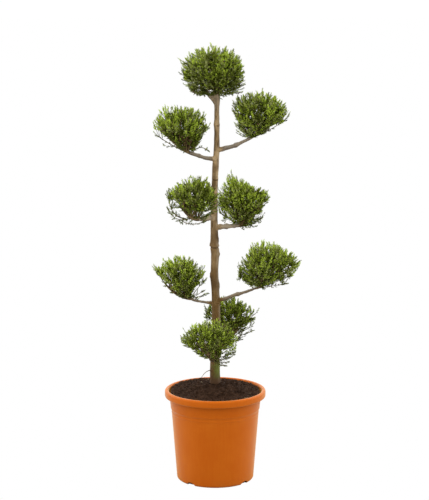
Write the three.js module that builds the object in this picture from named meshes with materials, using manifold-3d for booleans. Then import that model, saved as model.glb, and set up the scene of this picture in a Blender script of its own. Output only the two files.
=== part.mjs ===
// A Leyland cypress trained as a pompon topiary, in its plastic nursery pot.
// A single stem rises out of the pot, and nine clipped pompons of foliage stand on it: one on the
// stem's tip, and eight on boughs that leave the stem in four tiers.
// Sizes are in millimetres. +Z is up, -Y is the front, and the origin is the middle of the underside.
import * as THREE from "three";
import { mergeVertices } from "three/addons/utils/BufferGeometryUtils.js";
import Module from "manifold-3d";

const wasm = await Module();
wasm.setup();

// Driving dimensions

// Clearance between two solids that rest on each other, and between foliage and a limb.
const SEAT_GAP = 0.3;
const LEAF_CLEARANCE = 1.5;
// Spacing of the points along a limb or a twig where that clearance is measured.
const BEAD_SPACING = 6;

const POT = {
  height: 258,
  rimRadius: 140,
  rimFace: 20,
  rimWidth: 12,
  collarRadius: 127,
  collarFoot: 210,
  shoulderRadius: 122,
  baseRadius: 107,
  cornerRadius: 9,
  wall: 3,
  floor: 4,
  sides: 36,
};
const FOOT_NOTCH = { count: 4, turn: 50, width: 25, height: 8, depth: 18, sides: 5 };
const SOIL = { edgeHeight: 249, moundHeight: 268, moundRadius: 24, rings: 3 };

const TRUNK = {
  footY: 10,
  tipHeight: 1074,
  footRadius: 13.5,
  tipRadius: 6.6,
  flare: 4,
  flareHeight: 14,
  forkSwell: 2.2,
  forkSwellHeight: 16,
  sway: 4,
  swayDepth: 2.8,
  swayTurns: 1.6,
  swayPhase: -0.13,
  straightFoot: 0.1,
  steps: 34,
  sides: 9,
};

const BOUGH = {
  baseRadius: 5.3,
  tipRadius: 3.8,
  collar: 1.4,
  collarShare: 0.2,
  levelShare: 0.55,
  levelRise: 0.4,
  steps: 6,
  sides: 6,
};

// Where a bough enters its pompon, as shares of the pompon's reach and of half its height.
const POMPON_FOOT = { reach: 0.78, drop: 0.93 };
// The eight pompons on boughs. fork is the height where the bough leaves the trunk; azimuth is its
// heading, anticlockwise from +X seen from above; reach and middle place the pompon's centre; flare is
// small where a pompon opens at once from its foot, and large where it opens like a funnel.
const POMPONS = [
  {
    name: "upper_left",
    bough: { fork: 901, azimuth: 198, reach: 95 },
    clump: { middle: 984, width: 154, tall: 120, flare: 0.7 },
  },
  {
    name: "upper_right",
    bough: { fork: 921, azimuth: 9, reach: 126 },
    clump: { middle: 1015, width: 160, tall: 131, flare: 0.75 },
  },
  {
    name: "mid_left",
    bough: { fork: 732, azimuth: 219, reach: 79 },
    clump: { middle: 795, width: 148, tall: 124, flare: 0.6 },
  },
  {
    name: "mid_right",
    bough: { fork: 707, azimuth: 19, reach: 88 },
    clump: { middle: 779, width: 150, tall: 146, flare: 0.6 },
  },
  {
    name: "lower_left",
    bough: { fork: 503, azimuth: 168, reach: 99 },
    clump: { middle: 565, width: 154, tall: 124, flare: 0.75 },
  },
  {
    name: "lower_right",
    bough: { fork: 504, azimuth: 352, reach: 146 },
    clump: { middle: 606, width: 174, tall: 137, flare: 0.5 },
  },
  {
    name: "bottom_front",
    bough: { fork: 338, azimuth: 259, reach: 79 },
    clump: { middle: 409, width: 156, tall: 121, flare: 0.6 },
  },
  {
    name: "bottom_back",
    bough: { fork: 378, azimuth: 58, reach: 90 },
    clump: { middle: 440, width: 152, tall: 124, flare: 0.55 },
  },
];
const TOP_POMPON = {
  name: "top",
  offsetX: -7,
  clump: { middle: 1136, width: 177, tall: 134, flare: 0.36 },
};
// A pompon's outline: how high over its middle it is widest, and how wide it starts at its foot.
const VASE = { widest: 0.1, footWidth: 0.14 };

// The stem inside a pompon runs on from its bough towards the outer, lower side of the clump.
const STEM = { outward: 0.45, drop: 0.3, lead: 0.4, tipRadius: 2, steps: 4, sides: 5 };
// The dense heart of a clipped pompon: its share of the pompon's size, and how lumpy it is. A spray's
// root is well in it within the sure share. Upper sprays fan out of a place below the pompon's middle.
const CORE = {
  share: 0.76,
  columns: 10,
  rows: 6,
  lump: 0.14,
  lumpWaves: [new THREE.Vector3(7, 0, 5), new THREE.Vector3(-3, 7, 0), new THREE.Vector3(0, 3, 8)],
  sure: 0.74,
  fanDrop: 0.3,
};
// Sprays of scale leaves: flat blades that open like a fan into pointed fingers. Lengths along a blade
// are shares of its whole length.
const SPRAY = {
  count: 32,
  lowestRow: -0.74,
  innermost: 0.95,
  outermost: 1.05,
  strayLimit: 1.09,
  twigRow: -0.35,
  twigShare: 0.62,
  thickness: 3,
  thickest: 0.45,
  bend: 0.1,
  fingers: 5,
  fanAngle: 27,
  hinge: 0.25,
  outerFinger: 0.82,
  notch: 0.62,
  waist: 0.07,
};
// Twigs, with the stretch of the stem that they leave as shares of its length.
const TWIG = {
  baseRadius: 2,
  tipRadius: 1.1,
  lean: 0.7,
  firstRoot: 0.1,
  lastRoot: 0.95,
  besideBough: 0.15,
  intoSpray: 0.15,
  sides: 3,
};
const SEED = 20;

const FINISHES = {
  pot: { color: 0xbc5d17, roughness: 0.45, metalness: 0 },
  soil: { color: 0x2e231b, roughness: 0.95, metalness: 0 },
  bark: { color: 0x8a6f52, roughness: 0.85, metalness: 0 },
  foliage: { color: 0x4a6b1e, roughness: 0.7, metalness: 0 },
};

const UP = new THREE.Vector3(0, 0, 1);
const GOLDEN_ANGLE = Math.PI * (3 - Math.sqrt(5));
// Vertices of a shape that lie closer than this are one vertex.
const WELD = 1e-4;

// Small helpers

const mix = THREE.MathUtils.lerp;
const heading = (degrees) => {
  const angle = THREE.MathUtils.degToRad(degrees);
  return new THREE.Vector3(Math.cos(angle), Math.sin(angle), 0);
};
const bump = (x, centre, length) => Math.exp(-(((x - centre) / length) ** 2));

// A repeatable stream of numbers from 0 to 1.
function randomStream(seed) {
  let state = seed;
  return () => {
    state = (state + 0x6d2b79f5) | 0;
    let t = Math.imul(state ^ (state >>> 15), 1 | state);
    t = (t + Math.imul(t ^ (t >>> 7), 61 | t)) ^ t;
    return ((t ^ (t >>> 14)) >>> 0) / 4294967296;
  };
}

// A closed geometry as a solid that can be joined and cut.
function solidOf(geometry) {
  const bare = geometry.clone();
  bare.deleteAttribute("normal");
  bare.deleteAttribute("uv");
  const welded = mergeVertices(bare, WELD);
  const corners = [];
  for (let i = 0; i < welded.index.count; i += 3) {
    const [a, b, c] = [0, 1, 2].map((k) => welded.index.getX(i + k));
    if (a !== b && b !== c && c !== a) corners.push(a, b, c);
  }
  return new wasm.Manifold(
    new wasm.Mesh({
      numProp: 3,
      vertProperties: welded.attributes.position.array,
      triVerts: new Uint32Array(corners),
    }),
  );
}

function geometryOf(solid) {
  const { numVert, numProp, vertProperties, triVerts } = solid.getMesh();
  const position = new Float32Array(numVert * 3);
  for (let i = 0; i < numVert; i++) {
    position.set(vertProperties.subarray(i * numProp, i * numProp + 3), i * 3);
  }
  const geometry = new THREE.BufferGeometry();
  geometry.setAttribute("position", new THREE.BufferAttribute(position, 3));
  geometry.setIndex(new THREE.BufferAttribute(triVerts, 1));
  geometry.computeVertexNormals();
  return geometry;
}

// The solid's largest body alone: loose scraps are dropped, and hollows sealed by joining are filled.
function largestBody(solid) {
  return solid.decompose().reduce((best, body) => (body.volume() > best.volume() ? body : best));
}

function movePoints(geometry, move) {
  const position = geometry.attributes.position;
  const point = new THREE.Vector3();
  for (let i = 0; i < position.count; i++) {
    point.fromBufferAttribute(position, i);
    move(point);
    position.setXYZ(i, point.x, point.y, point.z);
  }
  return geometry;
}

// A turned shape standing on +Z, from [radius, height] pairs.
function turned(profile, sides) {
  const points = profile.map(([radius, height]) => new THREE.Vector2(radius, height));
  return new THREE.LatheGeometry(points, sides).rotateX(Math.PI / 2);
}

// Points of an arc in a profile, from one angle to another in degrees.
function arc(centreRadius, centreHeight, radius, from, to, steps) {
  return Array.from({ length: steps + 1 }, (_, i) => {
    const angle = THREE.MathUtils.degToRad(mix(from, to, i / steps));
    return [centreRadius + radius * Math.cos(angle), centreHeight + radius * Math.sin(angle)];
  });
}

// A named mesh whose own origin is at a place of the part.
function namedMesh(name, geometry, place, finish) {
  geometry.translate(-place.x, -place.y, -place.z);
  const mesh = new THREE.Mesh(geometry, new THREE.MeshStandardMaterial(finish));
  mesh.name = name;
  mesh.position.copy(place);
  return mesh;
}

// Pot and soil

// The inside of the pot from its floor up to the rim, drawn in by a gap.
function potInside(gap) {
  const inset = POT.wall + gap;
  return [
    [POT.baseRadius - inset, POT.floor + gap],
    [POT.shoulderRadius - inset, POT.collarFoot],
    [POT.collarRadius - inset, POT.collarFoot + POT.wall],
  ];
}

function potGeometry() {
  const { height, rimRadius, rimFace, rimWidth, cornerRadius } = POT;
  const roll = rimWidth / 2;
  const wallInside = potInside(0);
  const profile = [
    [0, 0],
    ...arc(POT.baseRadius - cornerRadius, cornerRadius, cornerRadius, -90, -4, 3),
    [POT.shoulderRadius, POT.collarFoot - POT.wall],
    [POT.collarRadius, POT.collarFoot],
    [POT.collarRadius, height - rimFace],
    [rimRadius - POT.wall, height - rimFace],
    [rimRadius, height - rimFace + POT.wall],
    ...arc(rimRadius - roll, height - roll, roll, 0, 180, 4),
    [POT.collarRadius - POT.wall, height - rimFace],
    ...wallInside.reverse(),
    [0, POT.floor],
  ];
  const shell = solidOf(turned(profile, POT.sides));
  return geometryOf(footNotches().reduce((solid, notch) => solid.subtract(notch), shell));
}

// Arched drainage notches through the lower corner, which leave the pot standing on broad feet.
function footNotches() {
  const { count, turn, width, height, depth, sides } = FOOT_NOTCH;
  return Array.from({ length: count }, (_, i) => {
    const arch = new THREE.CylinderGeometry(1, 1, 2 * depth, 2 * sides);
    arch.scale(width / 2, 1, height);
    arch.translate(0, POT.baseRadius, 0);
    arch.rotateZ(THREE.MathUtils.degToRad(turn + (360 / count) * i - 90));
    return solidOf(arch);
  });
}

// Height of the soil at a distance from the middle of the mound.
function soilHeight(distance) {
  const edge = POT.collarRadius - POT.wall - SEAT_GAP;
  const share = THREE.MathUtils.clamp((distance - SOIL.moundRadius) / (edge - SOIL.moundRadius), 0, 1);
  return mix(SOIL.edgeHeight, SOIL.moundHeight, (1 + Math.cos(Math.PI * share)) / 2);
}

function soilGeometry() {
  const wall = potInside(SEAT_GAP);
  const edge = wall[wall.length - 1][0];
  const mound = Array.from({ length: SOIL.rings + 1 }, (_, i) => {
    const radius = mix(edge, SOIL.moundRadius, i / SOIL.rings);
    return [radius, soilHeight(radius)];
  });
  const profile = [[0, POT.floor + SEAT_GAP], ...wall, ...mound, [0, SOIL.moundHeight]];
  return turned(profile, POT.sides);
}

// Trunk and boughs

const trunkFoot = SOIL.moundHeight + SEAT_GAP;
const trunkLength = TRUNK.tipHeight - trunkFoot;

// The middle of the trunk at a height: it sways a little from side to side and leans forward as it rises.
function trunkMiddle(height) {
  const share = (height - trunkFoot) / trunkLength;
  const turn = 2 * Math.PI * (TRUNK.swayTurns * share + TRUNK.swayPhase);
  const fade = Math.min(1, share / TRUNK.straightFoot);
  return new THREE.Vector3(
    TRUNK.sway * fade * Math.sin(turn),
    TRUNK.footY * (1 - share) + TRUNK.swayDepth * fade * Math.cos(turn),
    height,
  );
}

function trunkRadius(height) {
  const above = height - trunkFoot;
  return (
    mix(TRUNK.footRadius, TRUNK.tipRadius, above / trunkLength) +
    TRUNK.flare * Math.exp(-above / TRUNK.flareHeight) +
    TRUNK.forkSwell * bump(height, TRUNK.tipHeight, TRUNK.forkSwellHeight)
  );
}

// The trunk with level sections, so that its foot is a flat cut at the soil, swollen by a gap.
function trunkGeometry(gap) {
  const { steps, sides } = TRUNK;
  const outline = Array.from({ length: steps + 1 }, (_, i) => {
    const height = trunkFoot + (trunkLength * i) / steps;
    return [trunkRadius(height) + gap, height];
  });
  outline[0][1] -= gap;
  outline[steps][1] += gap;
  const profile = [[0, outline[0][1]], ...outline, [0, outline[steps][1]]];
  return movePoints(turned(profile, sides), (point) => {
    const middle = trunkMiddle(THREE.MathUtils.clamp(point.z, trunkFoot, TRUNK.tipHeight));
    point.x += middle.x;
    point.y += middle.y;
  });
}

// A round limb that tapers along a curve: a turned spindle of unit height, bent along the curve.
function limbGeometry(curve, radiusAt, steps, sides) {
  const profile = [new THREE.Vector2(0, 0)];
  for (let i = 0; i <= steps; i++) {
    profile.push(new THREE.Vector2(radiusAt(i / steps), i / steps));
  }
  profile.push(new THREE.Vector2(0, 1));
  const { normals, binormals } = curve.computeFrenetFrames(steps);
  return movePoints(new THREE.LatheGeometry(profile, sides), (point) => {
    const { x, y, z } = point;
    const step = Math.round(y * steps);
    curve.getPointAt(step / steps, point);
    point.addScaledVector(normals[step], x).addScaledVector(binormals[step], -z);
  });
}

// The bough of a pompon: it leaves the trunk almost level and turns up towards the pompon's foot.
function boughCurve({ bough, clump }) {
  const start = trunkMiddle(bough.fork);
  const end = heading(bough.azimuth).multiplyScalar(bough.reach * POMPON_FOOT.reach);
  end.z = clump.middle - (POMPON_FOOT.drop * clump.tall) / 2;
  const level = start.clone().lerp(end, BOUGH.levelShare);
  level.z = mix(start.z, level.z, BOUGH.levelRise);
  return new THREE.QuadraticBezierCurve3(start, level, end);
}

function boughRadius(share) {
  const collar = BOUGH.collar * Math.exp(-share / BOUGH.collarShare);
  return mix(BOUGH.baseRadius, BOUGH.tipRadius, share) + collar;
}

// Beads strung along the limbs, which foliage has to keep clear of.
function limbBeads() {
  const trunkCount = Math.ceil(trunkLength / BEAD_SPACING);
  const beads = Array.from({ length: trunkCount + 1 }, (_, i) => {
    const height = trunkFoot + (trunkLength * i) / trunkCount;
    return { middle: trunkMiddle(height), radius: trunkRadius(height) };
  });
  for (const pompon of POMPONS) {
    const curve = boughCurve(pompon);
    const count = Math.ceil(curve.getLength() / BEAD_SPACING);
    for (let i = 0; i <= count; i++) {
      beads.push({ middle: curve.getPointAt(i / count), radius: boughRadius(i / count) });
    }
  }
  return beads;
}

// Foliage

// A spray of scale leaves: a double cone whose rim is drawn out into a fan of fingers, standing on +Y.
function sprayGeometry(length, bend) {
  const half = SPRAY.fingers + 1;
  const blade = new THREE.SphereGeometry(1, 2 * half, 2);
  return movePoints(blade, (point) => {
    if (Math.abs(point.y) > 0.5) {
      point.set(0, SPRAY.thickest, (Math.sign(point.y) * SPRAY.thickness) / 2);
    } else {
      const angle = Math.atan2(point.z, point.x);
      const { side, along } = fanPoint(Math.round((Math.abs(angle) / Math.PI) * half), half);
      point.set(Math.sign(angle) * side, along, bend * length * along ** 2);
    }
    point.x *= length;
    point.y *= length;
  });
}

// A place on the fan's rim, counted from the middle finger's tip down one side: fingers and notches by
// turns, then the waist, and last the root.
function fanPoint(place, half) {
  if (place === half) return { side: 0, along: 0 };
  if (place === half - 1) return { side: SPRAY.waist, along: SPRAY.hinge };
  const fan = THREE.MathUtils.degToRad((SPRAY.fanAngle * place) / 2);
  const finger = (1 - SPRAY.hinge) * mix(1, SPRAY.outerFinger, place / (SPRAY.fingers - 1));
  const reach = finger * (place % 2 === 1 ? SPRAY.notch : 1);
  return { side: reach * Math.sin(fan), along: SPRAY.hinge + reach * Math.cos(fan) };
}

// Turns a shape that stands on +Y to point along a direction, rolled about it, and moves it to a place.
function planted(geometry, direction, roll, place) {
  const turn = new THREE.Quaternion().setFromUnitVectors(new THREE.Vector3(0, 1, 0), direction);
  return geometry.rotateY(roll).applyQuaternion(turn).translate(place.x, place.y, place.z);
}

// A twig between two points, sunk into what it joins at both ends.
function twigGeometry(from, to) {
  const along = to.clone().sub(from);
  const length = along.length();
  const twig = new THREE.CylinderGeometry(TWIG.tipRadius, TWIG.baseRadius, length, TWIG.sides);
  return planted(twig.translate(0, length / 2, 0), along.normalize(), 0, from);
}

// The level section of a pompon's space at a height: it opens from the pompon's foot like a vase up to
// the widest level, and closes over that as a dome.
function section({ middle, foot, axes, flare }, height) {
  const rise = THREE.MathUtils.clamp((height - middle.z) / axes.z, -1, 1);
  const opening = Math.min(1, (rise + 1) / (1 + VASE.widest));
  const closing = Math.max(0, (rise - VASE.widest) / (1 - VASE.widest));
  const radius = axes.x * mix(VASE.footWidth, 1, opening ** flare) * Math.sqrt(1 - closing ** 2);
  return { centre: foot.clone().lerp(middle, opening).setZ(height), radius };
}

// The point of a pompon's outside towards a unit direction.
function outsidePoint(space, direction) {
  const { centre, radius } = section(space, space.middle.z + direction.z * space.axes.z);
  const angle = Math.atan2(direction.y, direction.x);
  return centre.add(new THREE.Vector3(radius * Math.cos(angle), radius * Math.sin(angle), 0));
}

// True if a point is inside a pompon's space, grown or shrunk about its middle by a share.
function isInside(space, point, share) {
  const inner = point.clone().sub(space.middle).divideScalar(share).add(space.middle);
  if (Math.abs(inner.z - space.middle.z) > space.axes.z) return false;
  const { centre, radius } = section(space, inner.z);
  return inner.distanceTo(centre) <= radius;
}

// The dense heart of a clipped pompon: a smaller, lumpy copy of its outside.
function coreGeometry(space, random) {
  const phases = CORE.lumpWaves.map(() => random() * 2 * Math.PI);
  const ball = new THREE.SphereGeometry(1, CORE.columns, CORE.rows).rotateX(Math.PI / 2);
  return movePoints(ball, (point) => {
    const lumps = CORE.lumpWaves.map((wave, i) => Math.sin(wave.dot(point) + phases[i]));
    const lump = lumps.reduce((sum, height) => sum + height, 0) / lumps.length;
    const outside = outsidePoint(space, point);
    point.copy(space.middle).lerp(outside, CORE.share * (1 + CORE.lump * lump));
  });
}

// True if a point is well inside a pompon's heart.
function isInCore(space, point) {
  return isInside(space, point, CORE.share * CORE.sure);
}

// How far behind a tip its spray's root is well inside the heart.
function depthToCore(tip, direction, space) {
  const point = tip.clone();
  let depth = 0;
  while (!isInCore(space, point)) {
    point.addScaledVector(direction, -1);
    depth += 1;
  }
  return depth;
}

// Where sprays of a pompon end: an even spiral over the pompon's outside, above its open underside.
function sprayTips(space, random) {
  return Array.from({ length: SPRAY.count }, (_, i) => {
    const rise = mix(1, SPRAY.lowestRow, (i + 0.5) / SPRAY.count);
    const round = Math.sqrt(1 - rise ** 2);
    const angle = i * GOLDEN_ANGLE;
    const direction = new THREE.Vector3(round * Math.cos(angle), round * Math.sin(angle), rise);
    const share = mix(SPRAY.innermost, SPRAY.outermost, random());
    return space.middle.clone().lerp(outsidePoint(space, direction), share);
  });
}

// The place inside the heart that the upper sprays fan out of.
function coreRoot({ middle, axes }) {
  return middle.clone().addScaledVector(UP, -CORE.fanDrop * axes.z);
}

// Where the twig to a spray leaves the stem: back from the nearest point, so that twigs lean forward.
function twigRoot(stem, tip) {
  const start = stem.getPointAt(0);
  const along = stem.getPointAt(1).sub(start);
  const length = along.length();
  along.normalize();
  const toTip = tip.clone().sub(start);
  const nearest = toTip.dot(along);
  const away = toTip.addScaledVector(along, -nearest).length();
  const share = (nearest - TWIG.lean * away) / length;
  return stem.getPointAt(THREE.MathUtils.clamp(share, TWIG.firstRoot, TWIG.lastRoot));
}

// One pompon: a stem, twigs that fan out of it, a spray on each twig, and the dense heart, all fused.
function pomponGeometry(space, stem, baseRadius, beads, random) {
  const stemRadius = (share) => mix(baseRadius, STEM.tipRadius, share);
  let solid = solidOf(limbGeometry(stem, stemRadius, STEM.steps, STEM.sides));
  solid = solid.add(solidOf(coreGeometry(space, random)));
  for (const tip of sprayTips(space, random)) {
    const hasTwig = tip.z < space.middle.z + SPRAY.twigRow * space.axes.z;
    const root = hasTwig ? twigRoot(stem, tip) : coreRoot(space);
    const direction = tip.clone().sub(root);
    const reach = direction.length();
    direction.normalize();
    const length = hasTwig ? reach * SPRAY.twigShare : depthToCore(tip, direction, space);
    const roll = random() * Math.PI;
    const bend = (random() - 0.5) * 2 * SPRAY.bend;
    const sprayRoot = tip.clone().addScaledVector(direction, -length);
    const spray = planted(sprayGeometry(length, bend), direction, roll, sprayRoot);
    if (!staysClear(spray, space, beads) || !staysClear(wayPoints(root, tip), space, beads)) continue;
    solid = solid.add(solidOf(spray));
    if (!hasTwig) continue;
    const twigEnd = sprayRoot.clone().addScaledVector(direction, length * TWIG.intoSpray);
    solid = solid.add(solidOf(twigGeometry(root, twigEnd)));
  }
  return geometryOf(largestBody(solid));
}

// Points along the way from a root to a tip, past the stretch where a twig is still beside its own bough.
function wayPoints(root, tip) {
  const start = root.clone().lerp(tip, TWIG.besideBough);
  const count = Math.ceil(start.distanceTo(tip) / BEAD_SPACING);
  return new THREE.BufferGeometry().setFromPoints(
    Array.from({ length: count + 1 }, (_, i) => start.clone().lerp(tip, i / count)),
  );
}

// True if every point of a shape is inside the pompon's space and clear of all limbs.
function staysClear(geometry, space, beads) {
  const position = geometry.attributes.position;
  const point = new THREE.Vector3();
  const reach = TWIG.baseRadius + LEAF_CLEARANCE;
  for (let i = 0; i < position.count; i++) {
    point.fromBufferAttribute(position, i);
    if (!isInside(space, point, SPRAY.strayLimit)) return false;
    if (beads.some(({ middle, radius }) => point.distanceTo(middle) < radius + reach)) return false;
  }
  return true;
}

// The space of a pompon whose foot is at a place.
function pomponSpace({ width, tall, flare }, middle, foot) {
  return { middle, foot, flare, axes: new THREE.Vector3(width / 2, width / 2, tall / 2) };
}

// The stem of a pompon on a bough: it carries on the bough's line and turns up inside the clump.
function boughStem(curve, space, azimuth) {
  const leave = curve.getTangentAt(1);
  const start = curve.getPointAt(1).addScaledVector(leave, SEAT_GAP);
  const end = space.middle.clone().addScaledVector(heading(azimuth), STEM.outward * space.axes.x);
  end.z -= STEM.drop * space.axes.z;
  const lead = start.clone().addScaledVector(leave, STEM.lead * start.distanceTo(end));
  return new THREE.QuadraticBezierCurve3(start, lead, end);
}

// The stem of the top pompon carries on the trunk's line.
function topStem(space) {
  const start = trunkMiddle(TRUNK.tipHeight).addScaledVector(UP, SEAT_GAP);
  const end = space.middle.clone().addScaledVector(UP, STEM.drop * space.axes.z);
  const lead = start.clone().addScaledVector(UP, STEM.lead * start.distanceTo(end));
  return new THREE.QuadraticBezierCurve3(start, lead, end);
}

// Assembly

const origin = new THREE.Vector3();
const trunkWithGap = solidOf(trunkGeometry(SEAT_GAP));
const beads = limbBeads();

// A bough with its pompon, as a group that stands where the bough leaves the trunk.
function branch(pompon, random) {
  const { name, clump } = pompon;
  const { fork, azimuth, reach } = pompon.bough;
  const curve = boughCurve(pompon);
  const limb = solidOf(limbGeometry(curve, boughRadius, BOUGH.steps, BOUGH.sides));
  const bough = geometryOf(largestBody(limb.subtract(trunkWithGap)));
  const middle = heading(azimuth).multiplyScalar(reach).setZ(clump.middle);
  const space = pomponSpace(clump, middle, curve.getPointAt(1));
  const stem = boughStem(curve, space, azimuth);
  const foliage = pomponGeometry(space, stem, BOUGH.tipRadius, beads, random);

  const group = new THREE.Group();
  group.position.copy(trunkMiddle(fork));
  group.attach(namedMesh(`bough_${name}`, bough, group.position, FINISHES.bark));
  group.attach(namedMesh(`pompon_${name}`, foliage, middle, FINISHES.foliage));
  return group;
}

function topPompon(random) {
  const middle = new THREE.Vector3(TOP_POMPON.offsetX, 0, TOP_POMPON.clump.middle);
  const space = pomponSpace(TOP_POMPON.clump, middle, trunkMiddle(TRUNK.tipHeight));
  const base = trunkRadius(TRUNK.tipHeight);
  const foliage = pomponGeometry(space, topStem(space), base, beads, random);
  return namedMesh(`pompon_${TOP_POMPON.name}`, foliage, middle, FINISHES.foliage);
}

const container = new THREE.Group();
container.add(namedMesh("pot", potGeometry(), origin, FINISHES.pot));
container.add(namedMesh("soil", soilGeometry(), origin, FINISHES.soil));

const tree = new THREE.Group();
tree.add(namedMesh("trunk", trunkGeometry(0), trunkMiddle(trunkFoot), FINISHES.bark));
POMPONS.forEach((pompon, i) => tree.add(branch(pompon, randomStream(SEED + i))));
tree.add(topPompon(randomStream(SEED + POMPONS.length)));

const topiary = new THREE.Group();
topiary.add(container, tree);

export default topiary;
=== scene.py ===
"""A potted Leyland cypress pompon topiary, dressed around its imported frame.

Lengths inside the classes are millimetres in the frame's axes: +Z is up and -Y is the front. Pieces
are made in metres.
"""

import logging
import math
from dataclasses import dataclass
from enum import Enum, IntEnum
from itertools import product
from typing import ClassVar

import bpy
import numpy as np
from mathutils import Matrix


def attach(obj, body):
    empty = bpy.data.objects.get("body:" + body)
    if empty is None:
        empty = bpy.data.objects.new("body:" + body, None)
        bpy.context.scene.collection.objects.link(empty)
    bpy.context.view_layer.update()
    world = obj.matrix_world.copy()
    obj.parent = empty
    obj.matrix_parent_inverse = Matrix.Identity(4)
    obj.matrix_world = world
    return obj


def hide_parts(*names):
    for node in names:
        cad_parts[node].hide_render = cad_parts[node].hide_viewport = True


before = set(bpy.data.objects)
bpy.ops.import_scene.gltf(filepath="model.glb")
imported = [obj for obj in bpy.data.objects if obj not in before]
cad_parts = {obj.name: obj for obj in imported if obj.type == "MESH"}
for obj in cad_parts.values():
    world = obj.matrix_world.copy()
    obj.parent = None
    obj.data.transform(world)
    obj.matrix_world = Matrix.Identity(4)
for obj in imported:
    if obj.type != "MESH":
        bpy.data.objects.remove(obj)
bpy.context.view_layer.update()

LOG = logging.getLogger("topiary")
MM = 0.001
BODY = "root"
UP = np.array([0.0, 0.0, 1.0])
GOLDEN_ANGLE = math.pi * (3 - math.sqrt(5))
EYE = np.array([-2.0, -4500.0, 1426.0])
WHITE = (1.0, 1.0, 1.0)

Array = np.ndarray
Beads = tuple[Array, Array]
Pair = tuple[float, float]
Triple = tuple[float, float, float]
Colour = Triple
Material = bpy.types.Material
Mesh = bpy.types.Mesh
Socket = bpy.types.NodeSocket


# Shader maths

class Field:
    """A value in a node tree, on which Python arithmetic adds Math nodes."""

    def __init__(self, tree: "NodeTree", socket: Socket) -> None:
        """Wraps an output socket of a tree."""
        self.tree = tree
        self.socket = socket

    def _math(self, operation: str, first: "Field | float", second: "Field | float") -> "Field":
        """Adds a Math node on two values."""
        node = self.tree.node("ShaderNodeMath", {"operation": operation}, {0: first, 1: second})
        return Field(self.tree, node.outputs[0])

    def __add__(self, other: "Field | float") -> "Field":
        """The sum with a value."""
        return self._math("ADD", self, other)

    def __radd__(self, other: float) -> "Field":
        """The sum with a number."""
        return self._math("ADD", other, self)

    def __sub__(self, other: "Field | float") -> "Field":
        """This less a value."""
        return self._math("SUBTRACT", self, other)

    def __rsub__(self, other: float) -> "Field":
        """A number less this."""
        return self._math("SUBTRACT", other, self)

    def __mul__(self, other: "Field | float") -> "Field":
        """The product with a value."""
        return self._math("MULTIPLY", self, other)

    def __rmul__(self, other: float) -> "Field":
        """The product with a number."""
        return self._math("MULTIPLY", other, self)

    def rise(self, low: float, high: float) -> "Field":
        """A smooth step from 0 at one value to 1 at another."""
        node = self.tree.node(
            "ShaderNodeMapRange",
            {"interpolation_type": "SMOOTHSTEP"},
            {"Value": self, "From Min": low, "From Max": high},
        )
        return Field(self.tree, node.outputs[0])


class NodeTree:
    """A shader node tree in the making."""

    def __init__(self, tree: bpy.types.NodeTree) -> None:
        """Wraps a tree that exists."""
        self.tree = tree

    def node(self, kind: str, settings: dict | None = None, sockets: dict | None = None) -> bpy.types.Node:
        """Adds a node.

        Args:
            kind: The node's type.
            settings: Its own settings, which are set first.
            sockets: A value or a link for each input, by name or place.

        Returns:
            The new node.
        """
        node = self.tree.nodes.new(kind)
        for key, value in (settings or {}).items():
            setattr(node, key, value)
        for key, value in (sockets or {}).items():
            self.feed(node.inputs[key], value)
        return node

    def feed(self, socket: Socket, value: "Field | Socket | float | tuple") -> None:
        """Links a value to an input, or sets a plain one on it."""
        source = value.socket if isinstance(value, Field) else value
        if isinstance(source, Socket):
            self.tree.links.new(source, socket)
        elif socket.type == "RGBA":
            socket.default_value = (*source, 1.0)
        else:
            socket.default_value = source

    def axis(self, vector: Socket, letter: str) -> Field:
        """One axis of a vector as a value."""
        return Field(self, self.node("ShaderNodeSeparateXYZ", None, {0: vector}).outputs[letter])


class Finish(NodeTree):
    """The material of one finish, with a Principled shader that its patterns feed."""

    def __init__(self, name: str) -> None:
        """Starts a material of a name."""
        self.material = bpy.data.materials.new(name)
        self.material.use_nodes = True
        super().__init__(self.material.node_tree)
        self.surface = self.tree.nodes["Principled BSDF"]
        self.place = self.node("ShaderNodeTexCoord").outputs["Object"]

    def set(self, **sockets: "Field | Socket | float | tuple") -> None:
        """Feeds the shader's inputs, whose names have _ for a space."""
        for key, value in sockets.items():
            self.feed(self.surface.inputs[key.replace("_", " ")], value)

    def noise(self, size: float, detail: float = 2.0, stretch: tuple = (1, 1, 1)) -> Field:
        """Noise over the piece.

        Args:
            size: Width of its lumps, in millimetres.
            detail: How many finer layers it has.
            stretch: How much longer the lumps are along each axis.

        Returns:
            A value around a half.
        """
        shares = tuple(1 / (size * MM * longer) for longer in stretch)
        scaled = self.node("ShaderNodeVectorMath", {"operation": "MULTIPLY"}, {0: self.place, 1: shares})
        sockets = {"Vector": scaled.outputs[0], "Scale": 1.0, "Detail": detail}
        return Field(self, self.node("ShaderNodeTexNoise", None, sockets).outputs[0])

    def mix(self, share: "Field | float", first: "Colour | Socket", second: "Colour | Socket") -> Socket:
        """A colour between two, by a share from 0 to 1."""
        node = self.node("ShaderNodeMix", {"data_type": "RGBA"}, {0: share, 6: first, 7: second})
        return node.outputs[2]

    def bump(self, height: Field, depth: float, strength: float = 1.0) -> None:
        """Relief on the surface, as deep as a number of millimetres."""
        sockets = {"Height": height, "Distance": depth * MM, "Strength": strength}
        self.set(Normal=self.node("ShaderNodeBump", None, sockets).outputs[0])

    def height(self) -> Field:
        """The height over the floor in millimetres."""
        return self.axis(self.place, "Z") * (1 / MM)

    def mark(self, name: str) -> Field:
        """A value that the piece's own points carry."""
        return Field(self, self.node("ShaderNodeAttribute", {"attribute_name": name}).outputs["Fac"])


# Finishes

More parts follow.
